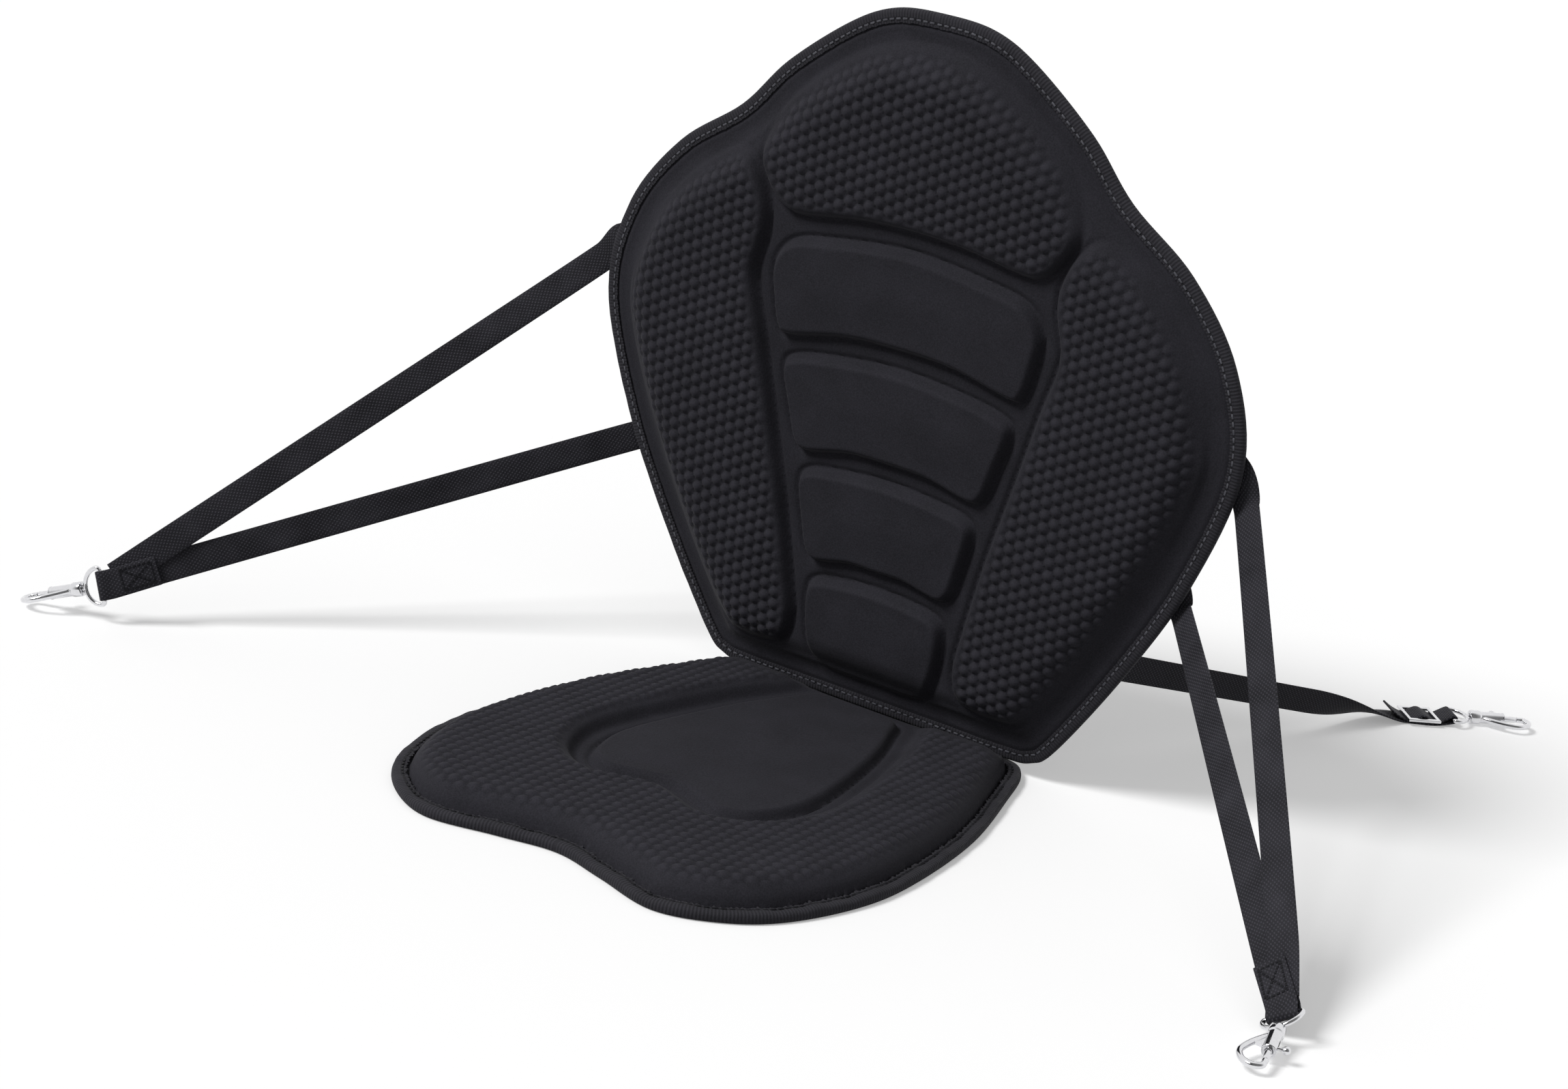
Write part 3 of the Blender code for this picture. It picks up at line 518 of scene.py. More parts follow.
def sweep(section: Sequence[Pair], frames: Sequence[Matrix], closed: bool) -> BMesh:
    """Carry a closed section along a run of frames, with UVs in metres along and round it.

    Args:
        section: Points in the frames' X and Z directions, in metres.
        frames: A matrix for each station.
        closed: Whether the run comes back to its start.

    Returns:
        The swept mesh, capped where the run is open.
    """
    work = bmesh.new()
    along = work.verts.layers.float.new("along")
    around = work.verts.layers.float.new("around")
    verts = [work.verts.new((x, 0, z)) for x, z in section]
    for vert in verts:
        vert[around] = vert.co.x
    rim = first = [work.edges.new((verts[k - 1], verts[k])) for k in range(len(verts))]
    bmesh.ops.transform(work, matrix=frames[0], verts=verts)
    travelled = 0.0
    for before, after in zip(frames, frames[1:]):
        grown = bmesh.ops.extrude_edge_only(work, edges=rim)["geom"]
        verts = [part for part in grown if isinstance(part, bmesh.types.BMVert)]
        rim = [part for part in grown if isinstance(part, bmesh.types.BMEdge) and part.is_boundary]
        bmesh.ops.transform(work, matrix=after @ before.inverted(), verts=verts)
        travelled += (after.translation - before.translation).length
        for vert in verts:
            vert[along] = travelled
    if closed:
        bmesh.ops.bridge_loops(work, edges=first + rim)
    else:
        for loop in (first, rim):
            bmesh.ops.contextual_create(work, geom=loop)
    bmesh.ops.recalc_face_normals(work, faces=work.faces)
    chart = work.loops.layers.uv.new("weave")
    for face in work.faces:
        places = [loop.vert[along] for loop in face.loops]
        wraps = closed and max(places) - min(places) > travelled / 2
        for loop, place in zip(face.loops, places):
            shift = travelled if wraps and place < travelled / 2 else 0.0
            loop[chart].uv = (place + shift, loop.vert[around])
    return work


def rod_section(radius: float, sides: int = 14) -> list[Pair]:
    """A round section."""
    return [(radius * math.cos(math.tau * k / sides), radius * math.sin(math.tau * k / sides))
            for k in range(sides)]


def path_frames(points: Sequence[Vector], up: Vector, closed: bool) -> list[Matrix]:
    """Frames along a path: Y runs along it, Z is as near to up as it can be.

    Args:
        points: The path's points.
        up: The direction that Z leans towards.
        closed: Whether the path comes back to its start.

    Returns:
        A matrix for each point.
    """
    frames = []
    last = len(points) - 1
    for index, point in enumerate(points):
        before = points[index - 1] if closed or index else point
        after = points[(index + 1) % len(points)] if closed or index < last else point
        y = (after - before).normalized()
        x = y.cross(up).normalized()
        rotation = Matrix((x, y, x.cross(y))).transposed()
        frames.append(Matrix.Translation(point) @ rotation.to_4x4())
    return frames


def rod(points: Sequence[Vector], radius: float, up: Vector, closed: bool = False) -> BMesh:
    """A round rod along a path."""
    return sweep(rod_section(radius), path_frames(points, up, closed), closed)


def turned(profile: Sequence[Pair], sides: int = 40) -> BMesh:
    """A shape turned about Z.

    Args:
        profile: Radius and height of each point in millimetres, from the axis round to the axis.
        sides: The number of facets round it.

    Returns:
        The turned mesh.
    """
    work = bmesh.new()
    verts = [work.verts.new((radius * MM, 0, height * MM)) for radius, height in profile]
    edges = [work.edges.new(pair) for pair in zip(verts, verts[1:])]
    bmesh.ops.spin(work, geom=verts + edges, cent=(0, 0, 0), axis=(0, 0, 1), angle=math.tau,
                   steps=sides, use_merge=True)
    bmesh.ops.remove_doubles(work, verts=work.verts, dist=0.001 * MM)
    bmesh.ops.recalc_face_normals(work, faces=work.faces)
    return work


def merged(shapes: Iterable[BMesh]) -> BMesh:
    """Several meshes as one. The shapes are freed."""
    whole = bmesh.new()
    for shape in shapes:
        mesh = bpy.data.meshes.new("shape")
        shape.to_mesh(mesh)
        shape.free()
        whole.from_mesh(mesh)
        bpy.data.meshes.remove(mesh)
    return whole


def combined(base: BMesh, other: BMesh, operation: str) -> BMesh:
    """Two solids joined or cut by an exact Boolean. Both are freed.

    Args:
        base: The solid that is worked on.
        other: The solid that is added or taken away.
        operation: UNION or DIFFERENCE.

    Returns:
        The resulting mesh.
    """
    holders = []
    for shape in (base, other):
        mesh = bpy.data.meshes.new("operand")
        shape.to_mesh(mesh)
        shape.free()
        holder = bpy.data.objects.new("operand", mesh)
        bpy.context.scene.collection.objects.link(holder)
        holders.append(holder)
    modifier = holders[0].modifiers.new("join", "BOOLEAN")
    modifier.operation = operation
    modifier.solver = "EXACT"
    modifier.object = holders[1]
    bpy.context.view_layer.update()
    result = bpy.data.meshes.new_from_object(
        holders[0].evaluated_get(bpy.context.evaluated_depsgraph_get()))
    work = bmesh.new()
    work.from_mesh(result)
    bpy.data.meshes.remove(result)
    for holder in holders:
        mesh = holder.data
        bpy.data.objects.remove(holder)
        bpy.data.meshes.remove(mesh)
    return work


@dataclass
class Stitching:
    """Rows of lock stitches, each a short length of thread half sunk in the cloth.

    Attributes:
        pitch: The distance from one stitch to the next, in millimetres.
        length: The length of a stitch that shows, in millimetres.
        width: The thread's width, in millimetres.
        seats: The frame of each stitch laid so far.
    """

    pitch: float = 5.0
    length: float = 3.3
    width: float = 1.3
    seats: list[Matrix] = field(default_factory=list)

    # The thread's height as a share of its width, and how far its edges are eased
    FLATNESS = 0.55
    EASING = 0.16 * MM

    def along(self, points: Sequence[Vector], up: Vector, closed: bool = False) -> None:
        """Lay stitches along a path.

        Args:
            points: The path's points.
            up: The direction that the cloth faces.
            closed: Whether the path comes back to its start.
        """
        ends = list(points) + ([points[0]] if closed else [])
        behind = self.pitch / 2 * MM
        for start, end in zip(ends, ends[1:]):
            span = (end - start).length
            while behind < span:
                y = (end - start).normalized()
                x = y.cross(up).normalized()
                turn = Matrix((x, y, x.cross(y))).transposed().to_4x4()
                self.seats.append(Matrix.Translation(start.lerp(end, behind / span)) @ turn)
                behind += self.pitch * MM
            behind -= span

    def box(self, centre: Vector, along: Vector, across: Vector, up: Vector) -> None:
        """Lay a box of stitches with a cross in it.

        Args:
            centre: The middle of the box.
            along: From the middle to one end.
            across: From the middle to one side.
            up: The direction that the cloth faces.
        """
        signs = ((-1, -1), (1, -1), (1, 1), (-1, 1))
        corners = [centre + a * along + b * across for a, b in signs]
        self.along(corners, up, True)
        self.along([corners[0], corners[2]], up)
        self.along([corners[1], corners[3]], up)

    def mesh(self) -> BMesh:
        """The stitches laid so far, each a rounded bar of 26 faces."""
        work = bmesh.new()
        size = Matrix.Diagonal((self.width * MM, self.length * MM, self.FLATNESS * self.width * MM,
                                1.0))
        for seat in self.seats:
            bmesh.ops.create_cube(work, size=1.0, matrix=seat @ size)
        bmesh.ops.bevel(work, geom=list(work.edges), offset=self.EASING, affect="EDGES", segments=1,
                        profile=0.5, material=-1)
        return work


@dataclass
class EdgeBinding:
    """Tape folded over a pad's edge and sewn through.

    Attributes:
        name: The piece's name, which is also its node's.
        body: The body it rides on.
        outline: The pad's outline in millimetres.
        place: The outline plane's frame.
        stitched_below: Whether the seam also shows on the other face.
        slack: How far the tape rises and falls, in millimetres.
        fray: How ragged its inner edge is, in millimetres.
        thread: The seam's finish.
        width: How far the tape reaches in from the edge, in millimetres.
        thickness: The folded tape's thickness, in millimetres.
        seam: How far the seam is from the edge, in millimetres.
        step: The distance between the tape's cross sections, in millimetres.
    """

    name: str
    body: str
    outline: np.ndarray
    place: Matrix
    stitched_below: bool
    slack: float
    fray: float
    thread: Finish
    width: float = 9.0
    thickness: float = 7.0
    seam: float = 6.4
    step: float = 1.8

    # The shares of the thickness over which the tape moves, and over which its edge frays
    UPPER_PART = 0.8
    FLAT_PART = 0.93
    # How far the thread stands out of the tape, in millimetres
    THREAD_LIFT = 0.1
    # Depth from the edge and height, in millimetres, round the fold and back inside it
    SECTION = ((9, 7), (6, 7.1), (3, 7), (1.3, 6.6), (0.4, 5.7), (0, 4.4), (0, 2.6), (0.4, 1.3),
               (1.3, 0.4), (3, 0), (6, 0), (9, 0), (9, 1.2), (3.4, 1.2), (3, 1.6), (3, 5.4),
               (3.4, 5.8), (9, 5.8))

    def build(self, shop: Workshop) -> None:
        """Build the tape and its seam."""
        up = Vector((0, 0, 1))
        points = [Vector((x, y, 0)) * MM for x, y in self.resampled(self.step)]
        frames = path_frames(points, up, True)
        # The outline runs counter-clockwise, so the frames' X points out of it
        section = [(-depth * MM, height * MM) for depth, height in self.SECTION]
        work = sweep(section, frames, True)
        self.crinkle(work)
        bmesh.ops.transform(work, matrix=self.place, verts=work.verts)
        shop.keep(work, self.name, EDGE_TAPE, self.body, [self.name], sharp=60)
        seam = Stitching()
        inset = [f @ Vector((-self.seam * MM, 0, 0)) for f in frames]
        lift = up * (self.thickness + self.THREAD_LIFT) * MM
        seam.along([point + lift for point in inset], up, True)
        if self.stitched_below:
            seam.along(inset, up, True)
        work = seam.mesh()
        bmesh.ops.transform(work, matrix=self.place, verts=work.verts)
        shop.keep(work, self.name + "_seam", self.thread, self.body)

    def resampled(self, spacing: float) -> np.ndarray:
        """The outline at even steps of about the given spacing."""
        closed = np.vstack([self.outline, self.outline[:1]])
        steps = np.hypot(*np.diff(closed, axis=0).T)
        place = np.concatenate([[0], np.cumsum(steps)])
        marks = np.linspace(0, place[-1], int(place[-1] / spacing), endpoint=False)
        return np.stack([np.interp(marks, place, closed[:, k]) for k in (0, 1)], axis=1)

    def crinkle(self, work: BMesh) -> None:
        """Let the folded tape rise and fall, as sewing leaves it, and fray its inner edge.

        The waves' lengths share no factor, so that the tape doesn't repeat itself.

        Args:
            work: The tape in the outline's plane, which is changed.
        """
        along, around = (work.verts.layers.float[name] for name in ("along", "around"))
        upper = [vert for vert in work.verts
                 if vert.co.z > self.UPPER_PART * self.thickness * MM]
        inner, flat_height = -self.width * MM, self.FLAT_PART * self.thickness * MM
        ragged = []
        for vert in upper:
            s = vert[along] / MM
            wave = math.sin(s / 7.3) + 0.8 * math.sin(s / 2.9 + 1) * math.sin(s / 41)
            vert.co.z += self.slack * wave * MM
            if vert[around] < inner + 0.1 * MM and vert.co.z > flat_height:
                flat = [edge.other_vert(vert) for edge in vert.link_edges]
                outer = max(flat, key=lambda other: other[around])
                tear = math.sin(s * 1.31) + math.sin(s * 0.57 + 2) * math.sin(s * 0.09)
                inwards = (vert.co - outer.co).normalized() * tear
                ragged.append((vert, inwards, math.sin(s * 1.7 + 1)))
        for vert, inwards, lift in ragged:
            vert.co += (inwards + Vector((0, 0, 0.5 * lift))) * self.fray * MM


@dataclass
class MouldedPad(ABC):
    """Foam moulded under its cloth: one surface with a relief, over a flat underside.

    Attributes:
        prefix: The pad's name, which is also its body's stem.
        body: The body it rides on.
        outline: The pad's outline in millimetres.
        place: The outline plane's frame.
        fill: How tight the pad is; not used.
        pitch: The distance from one bump to the next, in millimetres.
        bump_width: A bump's width at its foot, in millimetres.
        bump_height: A bump's height, in millimetres.
        bump_power: Below 1 a bump is fuller than a dome.
        rim: How far in from the outline the pad starts, inside the tape, in millimetres.
        underside: The height of the pad's underside, in millimetres.
        flange: The height of its flat edge, in millimetres.
        plain: How pale the smooth cloth is, where 1 is the painted highlight on a bump's crown.
    """

    prefix: str
    body: str
    outline: np.ndarray
    place: Matrix
    fill: float = 0.9
    pitch: float = 8.8
    bump_width: float = 8.3
    bump_height: float = 2.3
    bump_power: float = 0.8
    rim: float = 4.6
    underside: float = 4.0
    flange: float = 5.5
    plain: float = 0.3

    @abstractmethod
    def relief(self, spots: np.ndarray, rim: np.ndarray) -> tuple[np.ndarray, np.ndarray]:
        """The surface over spots in millimetres.

        Args:
            spots: The spots, one a row.
            rim: How far each is from the pad's outline.

        Returns:
            The smooth surface's height, and from 0 to 1 how far the bumps are raised on it.
        """

    def bumps(self, spots: np.ndarray) -> np.ndarray:
        """Round bumps of height 1 in a hexagonal lattice, one row of neighbours along Y."""
        step = self.pitch * math.sqrt(3) / 2
        column = np.round(spots[:, 0] / step)
        shift = (column % 2) * self.pitch / 2
        row = np.round((spots[:, 1] - shift) / self.pitch)
        reach = np.hypot(spots[:, 0] - column * step, spots[:, 1] - shift - row * self.pitch)
        return np.clip(1 - (reach / (self.bump_width / 2)) ** 2, 0, 1) ** self.bump_power

    def build(self, shop: Workshop) -> None:
        """Build the pad's cloth-covered foam."""
        # Five columns and six rows a bump, so that every bump is meshed alike
        cell = np.array((self.pitch * math.sqrt(3) / 10, self.pitch / 6))
        low = np.floor(self.outline.min(0) / cell).astype(int)
        high = np.ceil(self.outline.max(0) / cell).astype(int)
        span = high - low
        work = bmesh.new()
        middle = (low + high) / 2 * cell
        grid = Matrix.Translation((*middle, 0)) @ Matrix.Diagonal((*(span * cell), 1, 1))
        bmesh.ops.create_grid(work, x_segments=int(span[0]), y_segments=int(span[1]), size=0.5,
                              matrix=grid)
        spots = np.array([vert.co.xy for vert in work.verts])
        depth = inward(spots, self.outline)
        outside = [vert for vert, d in zip(work.verts, depth) if d < self.rim]
        bmesh.ops.delete(work, geom=outside, context="VERTS")
        spots, depth = spots[depth >= self.rim], depth[depth >= self.rim]
        bumps = self.bumps(spots)
        smooth, textured = self.relief(spots, depth)
        heights = smooth + self.bump_height * textured * bumps
        crowns = self.plain + textured * (bumps - self.plain)
        # The crown layer holds painted highlight on each bump's crown and painted shade between bumps
        crown = work.verts.layers.float.new("crown")
        for vert, height, crown_shading in zip(work.verts, heights, crowns):
            vert.co.z = height
            vert[crown] = crown_shading
        edge = [e for e in work.edges if e.is_boundary]
        skirt = bmesh.ops.extrude_edge_only(work, edges=edge)["geom"]
        for part in skirt:
            if isinstance(part, bmesh.types.BMVert):
                part.co.z = self.underside
        bmesh.ops.holes_fill(work, edges=[e for e in work.edges if e.is_boundary], sides=0)
        bmesh.ops.recalc_face_normals(work, faces=work.faces)
        bmesh.ops.scale(work, vec=(MM, MM, MM), verts=work.verts)
        bmesh.ops.transform(work, matrix=self.place, verts=work.verts)
        name = self.prefix + "_cushion"
        piece = shop.keep(work, name, PAD_CLOTH, self.body, [name], sharp=70)


@dataclass
class BackPad(MouldedPad):
    """The back: a head pad, two wings and four spine pads on a raised shoulder.

    Attributes:
        shoulder: The shoulder's height, in millimetres.
        lip: The height of the small step inside the tape, in millimetres.
        pad_rise: How far the pads rise from the shoulder, in millimetres.
        low_rise: How far they rise where the shoulder starts, in millimetres.
        piping: The height of the ridge on the shoulder, in millimetres.
        bulge: How far a pad's middle swells, in millimetres.
        slack: How unevenly the cloth lies, in millimetres.
    """

    shoulder: float = 15.8
    lip: float = 1.3
    pad_rise: float = 7.0
    low_rise: float = 1.6
    piping: float = 0.9
    bulge: float = 1.0
    slack: float = 0.25

    # Millimetres in from the outline, at the start and the end of what changes there
    LIP = (9.2, 11.5)
    SHOULDER = (14, 38)
    RISING = (25, 46)
    DEEPENING = (25, 40)
    SLACKENING = (17, 40)
    BUMPY_SHOULDER = (23, 29)
    # The same, in from a pad's edge
    WALL = (-0.9, 4.6)
    CROWN = (6, 34)
    BUMPY_PAD = (3.5, 9.5)
    # The centre and width of the piping on the shoulder and of the groove round a pad
    PIPING = (24.5, 2.4)
    GROOVE = (-1.5, 1.7)
    # The groove's depth at the rim, and how much deeper it gets further in
    GROOVE_DEPTHS = (0.5, 1.3)

    HEAD = ((0, 460), (52, 447), (101, 409), (119, 372), (112, 349), (98, 335), (80, 333),
            (40, 339), (0, 341))
    SPINE = (
        ((0, 327), (60, 321), (89, 314), (102, 297), (100, 274), (95, 255), (85, 250), (41, 259),
         (0, 261)),
        ((0, 247), (50, 243), (80, 237), (88, 227), (81, 200), (75, 181), (64, 174), (30, 181),
         (0, 182)),
        ((0, 169), (41, 166), (61, 162), (68, 152), (63, 125), (58, 107), (48, 100), (21, 105),
         (0, 105)),
        ((0, 93), (31, 91), (48, 87), (54, 77), (53, 53), (46, 30), (30, 22), (0, 22)),
    )
    WING = ((138, 366), (121, 356), (111, 335), (110, 315), (116, 285), (106, 246), (92, 189),
            (78, 133), (68, 83), (64, 55), (72, 34), (98, 29), (122, 38), (152, 80), (193, 160),
            (217, 220), (220, 255), (200, 309), (169, 346))

    def relief(self, spots: np.ndarray, rim: np.ndarray) -> tuple[np.ndarray, np.ndarray]:
        """Flange, shoulder, then pads with rolled edges, and bumps on the head and the wings."""
        head = inward(spots, whole_outline(self.HEAD))
        wings = np.maximum.reduce([
            inward(spots, smooth_path(np.array(self.WING) * (sign, 1), True, OUTLINE_STEPS))
            for sign in (-1.0, 1.0)])
        spine = np.maximum.reduce([inward(spots, whole_outline(half)) for half in self.SPINE])
        pads = np.maximum.reduce([head, wings, spine])
        height = self.flange + self.lip * ease(rim, *self.LIP)
        height += (self.shoulder - self.flange - self.lip) * ease(rim, *self.SHOULDER)
        height += self.piping * bead(rim, *self.PIPING)
        step = self.low_rise + (self.pad_rise - self.low_rise) * ease(rim, *self.RISING)
        height += step * ease(pads, *self.WALL) + self.bulge * ease(pads, *self.CROWN)
        shallow, deeper = self.GROOVE_DEPTHS
        height -= (shallow + deeper * ease(rim, *self.DEEPENING)) * bead(pads, *self.GROOVE)
        waves = np.sin(spots[:, 0] / 31 + 0.6) * np.sin(spots[:, 1] / 27 + 0.4)
        height += self.slack * waves * ease(rim, *self.SLACKENING)
        bumpy = ease(np.maximum(head, wings), *self.BUMPY_PAD)
        return height, bumpy * ease(rim, *self.BUMPY_SHOULDER)


@dataclass
class SeatPad(MouldedPad):
    """The seat: a U of bumpy bolster round a smooth sunken panel, open at the rear.

    Attributes:
        top: The bolster's height, in millimetres.
        floor: The height of the groove's floor, in millimetres.
        panel_top: The panel's height, in millimetres.
        groove: The groove's width, in millimetres.
        crease: The depth of the crease inside the tape, in millimetres.
        dome: How far the bolster swells, in millimetres.
        step: How far its inner side steps down before the groove, in millimetres.
        bulge: How far the panel's middle swells, in millimetres.
        line: The depth of the line round the panel, in millimetres.
        slack: How unevenly the cloth lies, in millimetres.
    """

    bump_height: float = 1.6
    top: float = 20.6
    floor: float = 12.2
    panel_top: float = 17.0
    groove: float = 14.0
    crease: float = 2.0
    dome: float = 0.9
    step: float = 2.4
    bulge: float = 0.9
    line: float = 1.9
    slack: float = 0.2

    # Millimetres in from the outline, at the start and the end of what changes there
    ROLL = (11, 20)
    DOME = (26, 60)
    MOUTH = (12, 20)
    SLACKENING = (14, 34)
    BUMPY_RIM = (15, 22)
    # The same, forward from the rear edge
    REAR_END = (27, 17)
    BUMPY_REAR = (28, 38)
    # The same, outwards from the groove's outer side
    SLOPE = (11, 2)
    SIDE = (3.5, -4.5)
    BUMPY_SIDE = (5, 10)
    # The same, in from the panel's edge
    WALL = (-0.6, 5.0)
    CROWN = (6, 40)
    # The centre and width of the crease inside the tape and of the line round the panel
    CREASE = (10.4, 1.4)
    LINE = (-1.2, 1.6)

    PANEL = ((0, 235), (26, 243), (45, 249), (64, 235), (75, 199), (71, 152), (57, 86), (42, 43),
             (34, 24), (20, 20), (0, 20))

    def relief(self, spots: np.ndarray, rim: np.ndarray) -> tuple[np.ndarray, np.ndarray]:
        """A rolled rim, the bumpy bolster, then the two-step groove and the panel in it."""
        panel = inward(spots, whole_outline(self.PANEL, -1.0))
        from_groove = -panel - self.groove
        to_rear = self.outline[:, 1].max() - spots[:, 1]
        height = self.flange + (self.top - self.flange) * quarter_round(rim, *self.ROLL)
        height -= self.crease * bead(rim, *self.CREASE)
        height += self.dome * ease(rim, *self.DOME)
        height -= self.step * ease(from_groove, *self.SLOPE)
        sunk = ease(from_groove, *self.SIDE)
        sunk = np.maximum(sunk, ease(to_rear, *self.REAR_END) * ease(rim, *self.MOUTH))
        height = height * (1 - sunk) + np.minimum(height, self.floor) * sunk
        height += (self.panel_top - self.floor) * ease(panel, *self.WALL)
        height += self.bulge * ease(panel, *self.CROWN)
        height -= self.line * bead(panel, *self.LINE)
        waves = np.sin(spots[:, 0] / 23 + 1.1) * np.sin(spots[:, 1] / 29)
        height += self.slack * waves * ease(rim, *self.SLACKENING)
        bumpy = ease(rim, *self.BUMPY_RIM) * ease(from_groove, *self.BUMPY_SIDE)
        return height, bumpy * ease(to_rear, *self.BUMPY_REAR)


def strap_frames(stations: Sequence[Station], spacing: float) -> list[Matrix]:
    """Frames along a strap that eases through its stations.

    Args:
        stations: Each a centre and a vector across half the width.
        spacing: The step between frames, in metres.

    Returns:
        Frames whose X runs across the strap, Y along it and Z out of its face.
    """
    centres = [centre for centre, _ in stations]
    slopes = []
    for index, centre in enumerate(centres):
        before = centre - centres[index - 1] if index else centres[1] - centre
        after = centres[index + 1] - centre if index + 1 < len(centres) else before
        slopes.append((before.normalized() + after.normalized()).normalized()
                      * min(before.length, after.length))
    frames = []
    for index in range(len(stations) - 1):
        start, end = centres[index], centres[index + 1]
        steps = max(2, round((end - start).length / spacing))
        most = LONGEST_PULL * (end - start).length
        leave, arrive = (slope.normalized() * min(most, STRAP_PULL * slope.length)
                         for slope in slopes[index:index + 2])
        last = index == len(stations) - 2
        for step in range(steps + 1 if last else steps):
            t = step / steps
            point = ((2 * t ** 3 - 3 * t ** 2 + 1) * start + (t ** 3 - 2 * t ** 2 + t) * leave
                     + (3 * t ** 2 - 2 * t ** 3) * end + (t ** 3 - t ** 2) * arrive)
            along = ((6 * t ** 2 - 6 * t) * start + (3 * t ** 2 - 4 * t + 1) * leave
                     + (6 * t - 6 * t ** 2) * end + (3 * t ** 2 - 2 * t) * arrive).normalized()
            blend = t * t * (3 - 2 * t)
            across = stations[index][1].lerp(stations[index + 1][1], blend)
            across = (across - along * across.dot(along)).normalized()
            rotation = Matrix((across, along, across.cross(along))).transposed()
            frames.append(Matrix.Translation(point) @ rotation.to_4x4())
    return frames


@dataclass
class BoltSnap:
    """A swivel bolt snap, in millimetres from the strap bar along its axis.

    Attributes:
        eye_wire: The D's wire diameter.
        arm_wire: The hook arm's diameter at its root.
        spring_seat: How far the barrel's floor is from the strap bar; not used.
        spring_squash: The share of the spring's length that is left when the bolt is fully back; not used.
    """

    eye_wire: float = 3.2
    arm_wire: float = 4.0
    spring_seat: float = 25.1
    spring_squash: float = 0.37

    # Side and height of each point; the turned parts give radius and height
    EYE = ((-10, 0), (-5, 0), (0, 0), (5, 0), (10, 0), (12.1, 1.2), (12.3, 3.6), (11, 7),
           (8.2, 10.2), (4.2, 12.4), (0, 13), (-4.2, 12.4), (-8.2, 10.2), (-11, 7), (-12.3, 3.6),
           (-12.1, 1.2))
    STEM = ((0, 12.4), (1.9, 12.4), (2, 19.9), (2.9, 20), (3.2, 20.4), (3.2, 21.1), (2.9, 21.4),
            (0, 21.4))
    CASTING = ((0, 21.7), (3.5, 21.7), (3.5, 19.5), (2.3, 19.5), (2.3, 15.2), (4.3, 15.2),
               (4.8, 15.4), (5, 15.9), (5, 21.9), (4.8, 22.5), (4.3, 23), (4.2, 23.6), (4.2, 39.8),
               (4.45, 40), (4.45, 40.7), (4.2, 41), (2.9, 41), (2.4, 40.7), (2.4, 25.1), (0, 25.1))
    ARM = ((-2.2, 24.5), (-7.5, 31), (-12.5, 39), (-15, 47), (-12.5, 54.5), (-6.5, 58.3),
           (-0.8, 56.5), (0, 51.2))
    BOLT = ((0, 34), (1.8, 34), (2.1, 34.3), (2.1, 49.9), (1.7, 50.6), (0.9, 50.8), (0, 50.8))
    KNOB = ((0, 1), (1.1, 1), (1.1, 6.4), (1.6, 6.9), (2.2, 7.6), (2.5, 8.7), (2.4, 9.8),
            (1.8, 10.8), (0.9, 11.3), (0, 11.4))
    KNOB_HEIGHT = 35.6
    # Two opposite corners of the box that cuts the knob's slot
    SLOT = ((0, -1.4, 28.7), (8.4, 1.4, 37.0))
    WEB = ((-3.4, 24.5), (-3.4, 36.5), (-4.6, 37.6), (-6.4, 37), (-10.4, 35.6), (-6.8, 30.2))
    WEB_THICKNESS = 1.8

    def eye(self) -> BMesh:
        """The wire D with the headed stem that turns in the collar."""
        loop = smooth_path(np.array(self.EYE) * MM, True, 3)
        points = [Vector((x, 0, z)) for x, z in loop]
        wire = rod(points, self.eye_wire / 2 * MM, Vector((0, 1, 0)), True)
        return merged([wire, turned(self.STEM, 24)])

    def casting(self) -> BMesh:
        """Collar, barrel, web and hook arm in one casting, with the knob's slot."""
        body = turned(self.CASTING)
        arm = smooth_path(np.array(self.ARM) * MM, False, 5)
        points = [Vector((x, 0, z)) for x, z in arm]
        body = combined(body, rod(points, self.arm_wire / 2 * MM, Vector((0, 1, 0))), "UNION")
        body = combined(body, self.web(), "UNION")
        low, high = (Vector(corner) * MM for corner in self.SLOT)
        slot = bmesh.new()
        bmesh.ops.create_cube(slot, size=1.0, matrix=Matrix.Translation((low + high) / 2)
                              @ Matrix.Diagonal((*(high - low), 1.0)))
        return combined(body, slot, "DIFFERENCE")

    def web(self) -> BMesh:
        """The thin web between the barrel and the arm's root."""
        work = bmesh.new()
        near = -self.WEB_THICKNESS / 2
        rim = [work.verts.new(Vector((x, near, z)) * MM) for x, z in self.WEB]
        face = work.faces.new(rim)
        grown = bmesh.ops.extrude_face_region(work, geom=[face])["geom"]
        bmesh.ops.translate(work, vec=(0, self.WEB_THICKNESS * MM, 0),
                            verts=[part for part in grown if isinstance(part, bmesh.types.BMVert)])
        bmesh.ops.recalc_face_normals(work, faces=work.faces)
        return work

    def bolt(self) -> BMesh:
        """The sliding bolt with its ball-ended knob."""
        knob = turned(self.KNOB, 24)
        raised = Matrix.Translation((0, 0, self.KNOB_HEIGHT * MM))
        turn = Matrix.Rotation(math.pi / 2, 4, "Y")
        bmesh.ops.transform(knob, matrix=raised @ turn, verts=knob.verts)
        return merged([turned(self.BOLT, 24), knob])

